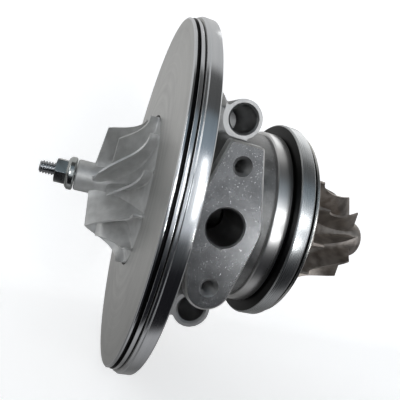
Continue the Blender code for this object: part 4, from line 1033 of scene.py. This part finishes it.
# What polished metal sees round the shaft, as degrees up from the view that the drain
# pad faces, and the light that comes from there
surroundings = [(-180, 0.62), (-155, 0.30), (-120, 0.14),
                (-80, (0.42, 0.42, 0.43)), (-72, (0.01, 0.01, 0.012)),
                (-34, (0.008, 0.008, 0.01)), (-16, (0.07, 0.075, 0.08)),
                (-8, (0.62, 0.65, 0.69)), (14, (0.68, 0.71, 0.75)), (32, (0.60, 0.64, 0.69)),
                (37, (0.26, 0.31, 0.36)), (56, (0.20, 0.24, 0.27)), (62, 0.08),
                (86, 0.10), (94, 0.55), (180, 0.62)]
# Soft lamps, as degrees to the right of and above the view that the drain pad faces
lamps = {
    "tallWindow": {"right": 13.5, "up": 15.0, "away": 700, "size": (90, 420), "glow": 2.2},
    "flangeWindow": {"right": 28.0, "up": 13.0, "away": 700, "size": (130, 130), "glow": 7.5},
    "padWindow": {"right": 26.0, "up": -10.0, "away": 700, "size": (60, 60), "glow": 34.0},
    "frontWindow": {"right": -19.0, "up": 10.0, "away": 700, "size": (200, 200), "glow": 5.0},
    "sideWindow": {"right": -75.0, "up": 25.0, "away": 800, "size": (300, 300), "glow": 2.6},
    "rearWindow": {"right": 140.0, "up": 40.0, "away": 900, "size": (500, 500), "glow": 0.8},
}


def buildWorld():
    world = bpy.data.worlds.new("studio")
    bpy.context.scene.world = world
    world.use_nodes = True
    tree = world.node_tree
    where = tree.nodes.new("ShaderNodeTexCoord").outputs["Generated"]
    split = addNode(tree, "ShaderNodeSeparateXYZ", {0: where}).outputs
    angle = mathNode(tree, "ARCTAN2", split[2], times(tree, split[1], -1.0))
    room = addNode(tree, "ShaderNodeValToRGB", {0: ramp(tree, angle, -math.pi, math.pi)})
    stops = room.color_ramp.elements
    while len(stops) < len(surroundings):
        stops.new(0.5)
    for stop, (degrees, colour) in zip(stops, surroundings):
        stop.position = (degrees + 180) / 360
        stop.color = colourOf(colour)
    seen = tree.nodes.new("ShaderNodeLightPath").outputs["Is Camera Ray"]
    fill(tree, tree.nodes["Background"], {
        "Color": blendColour(tree, seen, room.outputs[0], studio["backdropWhite"])})


def buildBackdrop():
    # A pale floor that curves up into a wall. Only its front hides what is behind it.
    far, wall, cove = studio["reach"], studio["wall"] * mm, studio["cove"] * mm
    base = cadBox[0].z
    line = [(-far, base)]
    for i in range(studio["coveSteps"] + 1):
        turn = math.pi / 2 * i / studio["coveSteps"]
        line.append((wall - cove + cove * math.sin(turn), base + cove * (1 - math.cos(turn))))
    line.append((wall, far))
    bm = bmesh.new()
    sides = [[bm.verts.new((x, y, z)) for y, z in line] for x in (-far, far)]
    for i in range(len(line) - 1):
        bm.faces.new((sides[0][i], sides[1][i], sides[1][i + 1], sides[0][i + 1]))
    backdrop = newObject("backdrop", meshOf(bm, "backdrop"))
    backdrop.data.shade_smooth()
    made, tree, shader = material("palePaper")[:3]
    seen = tree.nodes.new("ShaderNodeLightPath").outputs["Is Camera Ray"]
    fill(tree, shader, {"Base Color": colourOf(studio["colour"]),
                        "Roughness": studio["roughness"], "Specular IOR Level": 0.0,
                        "Emission Color": colourOf(1.0),
                        "Emission Strength": times(tree, seen, studio["glow"])})
    behind = tree.nodes.new("ShaderNodeNewGeometry").outputs["Backfacing"]
    clear = tree.nodes.new("ShaderNodeBsdfTransparent")
    mix = addNode(tree, "ShaderNodeMixShader",
                  {0: behind, 1: shader.outputs[0], 2: clear.outputs[0]})
    fill(tree, tree.nodes["Material Output"], {"Surface": mix.outputs[0]})
    backdrop.data.materials.append(made)
    backdrop.visible_glossy = False
    backdrop.visible_shadow = False


def buildLamps():
    for name, lamp in lamps.items():
        data = bpy.data.lights.new(name, "AREA")
        data.shape = "RECTANGLE"
        data.size, data.size_y = (side * mm for side in lamp["size"])
        data.energy = lamp["glow"] * math.pi * data.size * data.size_y
        right, up = math.radians(lamp["right"]), math.radians(lamp["up"])
        away = Vector((math.sin(right) * math.cos(up), -math.cos(right) * math.cos(up),
                       math.sin(up)))
        obj = newObject(name, data)
        obj.location = Vector(studio["lampsAim"]) + away * lamp["away"] * mm
        obj.rotation_euler = away.to_track_quat("Z", "Y").to_euler()


# The camera that was fitted to the photo, its place in millimetres
view = {"at": (-18.82, -160.83, 19.78), "right": (0.93919, -0.22283, 0.26127),
    "up": (-0.22648, 0.16996, 0.95906), "back": (-0.25813, -0.95992, 0.10916),
        "lens": 37.78, "sensor": 36.0, "clipStart": 0.005}


def buildCamera():
    data = bpy.data.cameras.new("photoView")
    camera = newObject("photoView", data)
    data.sensor_width = view["sensor"]
    data.lens = view["lens"]
    data.clip_start = view["clipStart"]
    turn = Matrix([view["right"], view["up"], view["back"]]).transposed()
    camera.matrix_world = Matrix.Translation(Vector(view["at"]) * mm) @ turn.to_4x4()
    bpy.context.scene.camera = camera


buildWorld()
buildBackdrop()
buildLamps()
buildCamera()
bpy.context.scene.view_settings.view_transform = "Standard"
print("studio done")
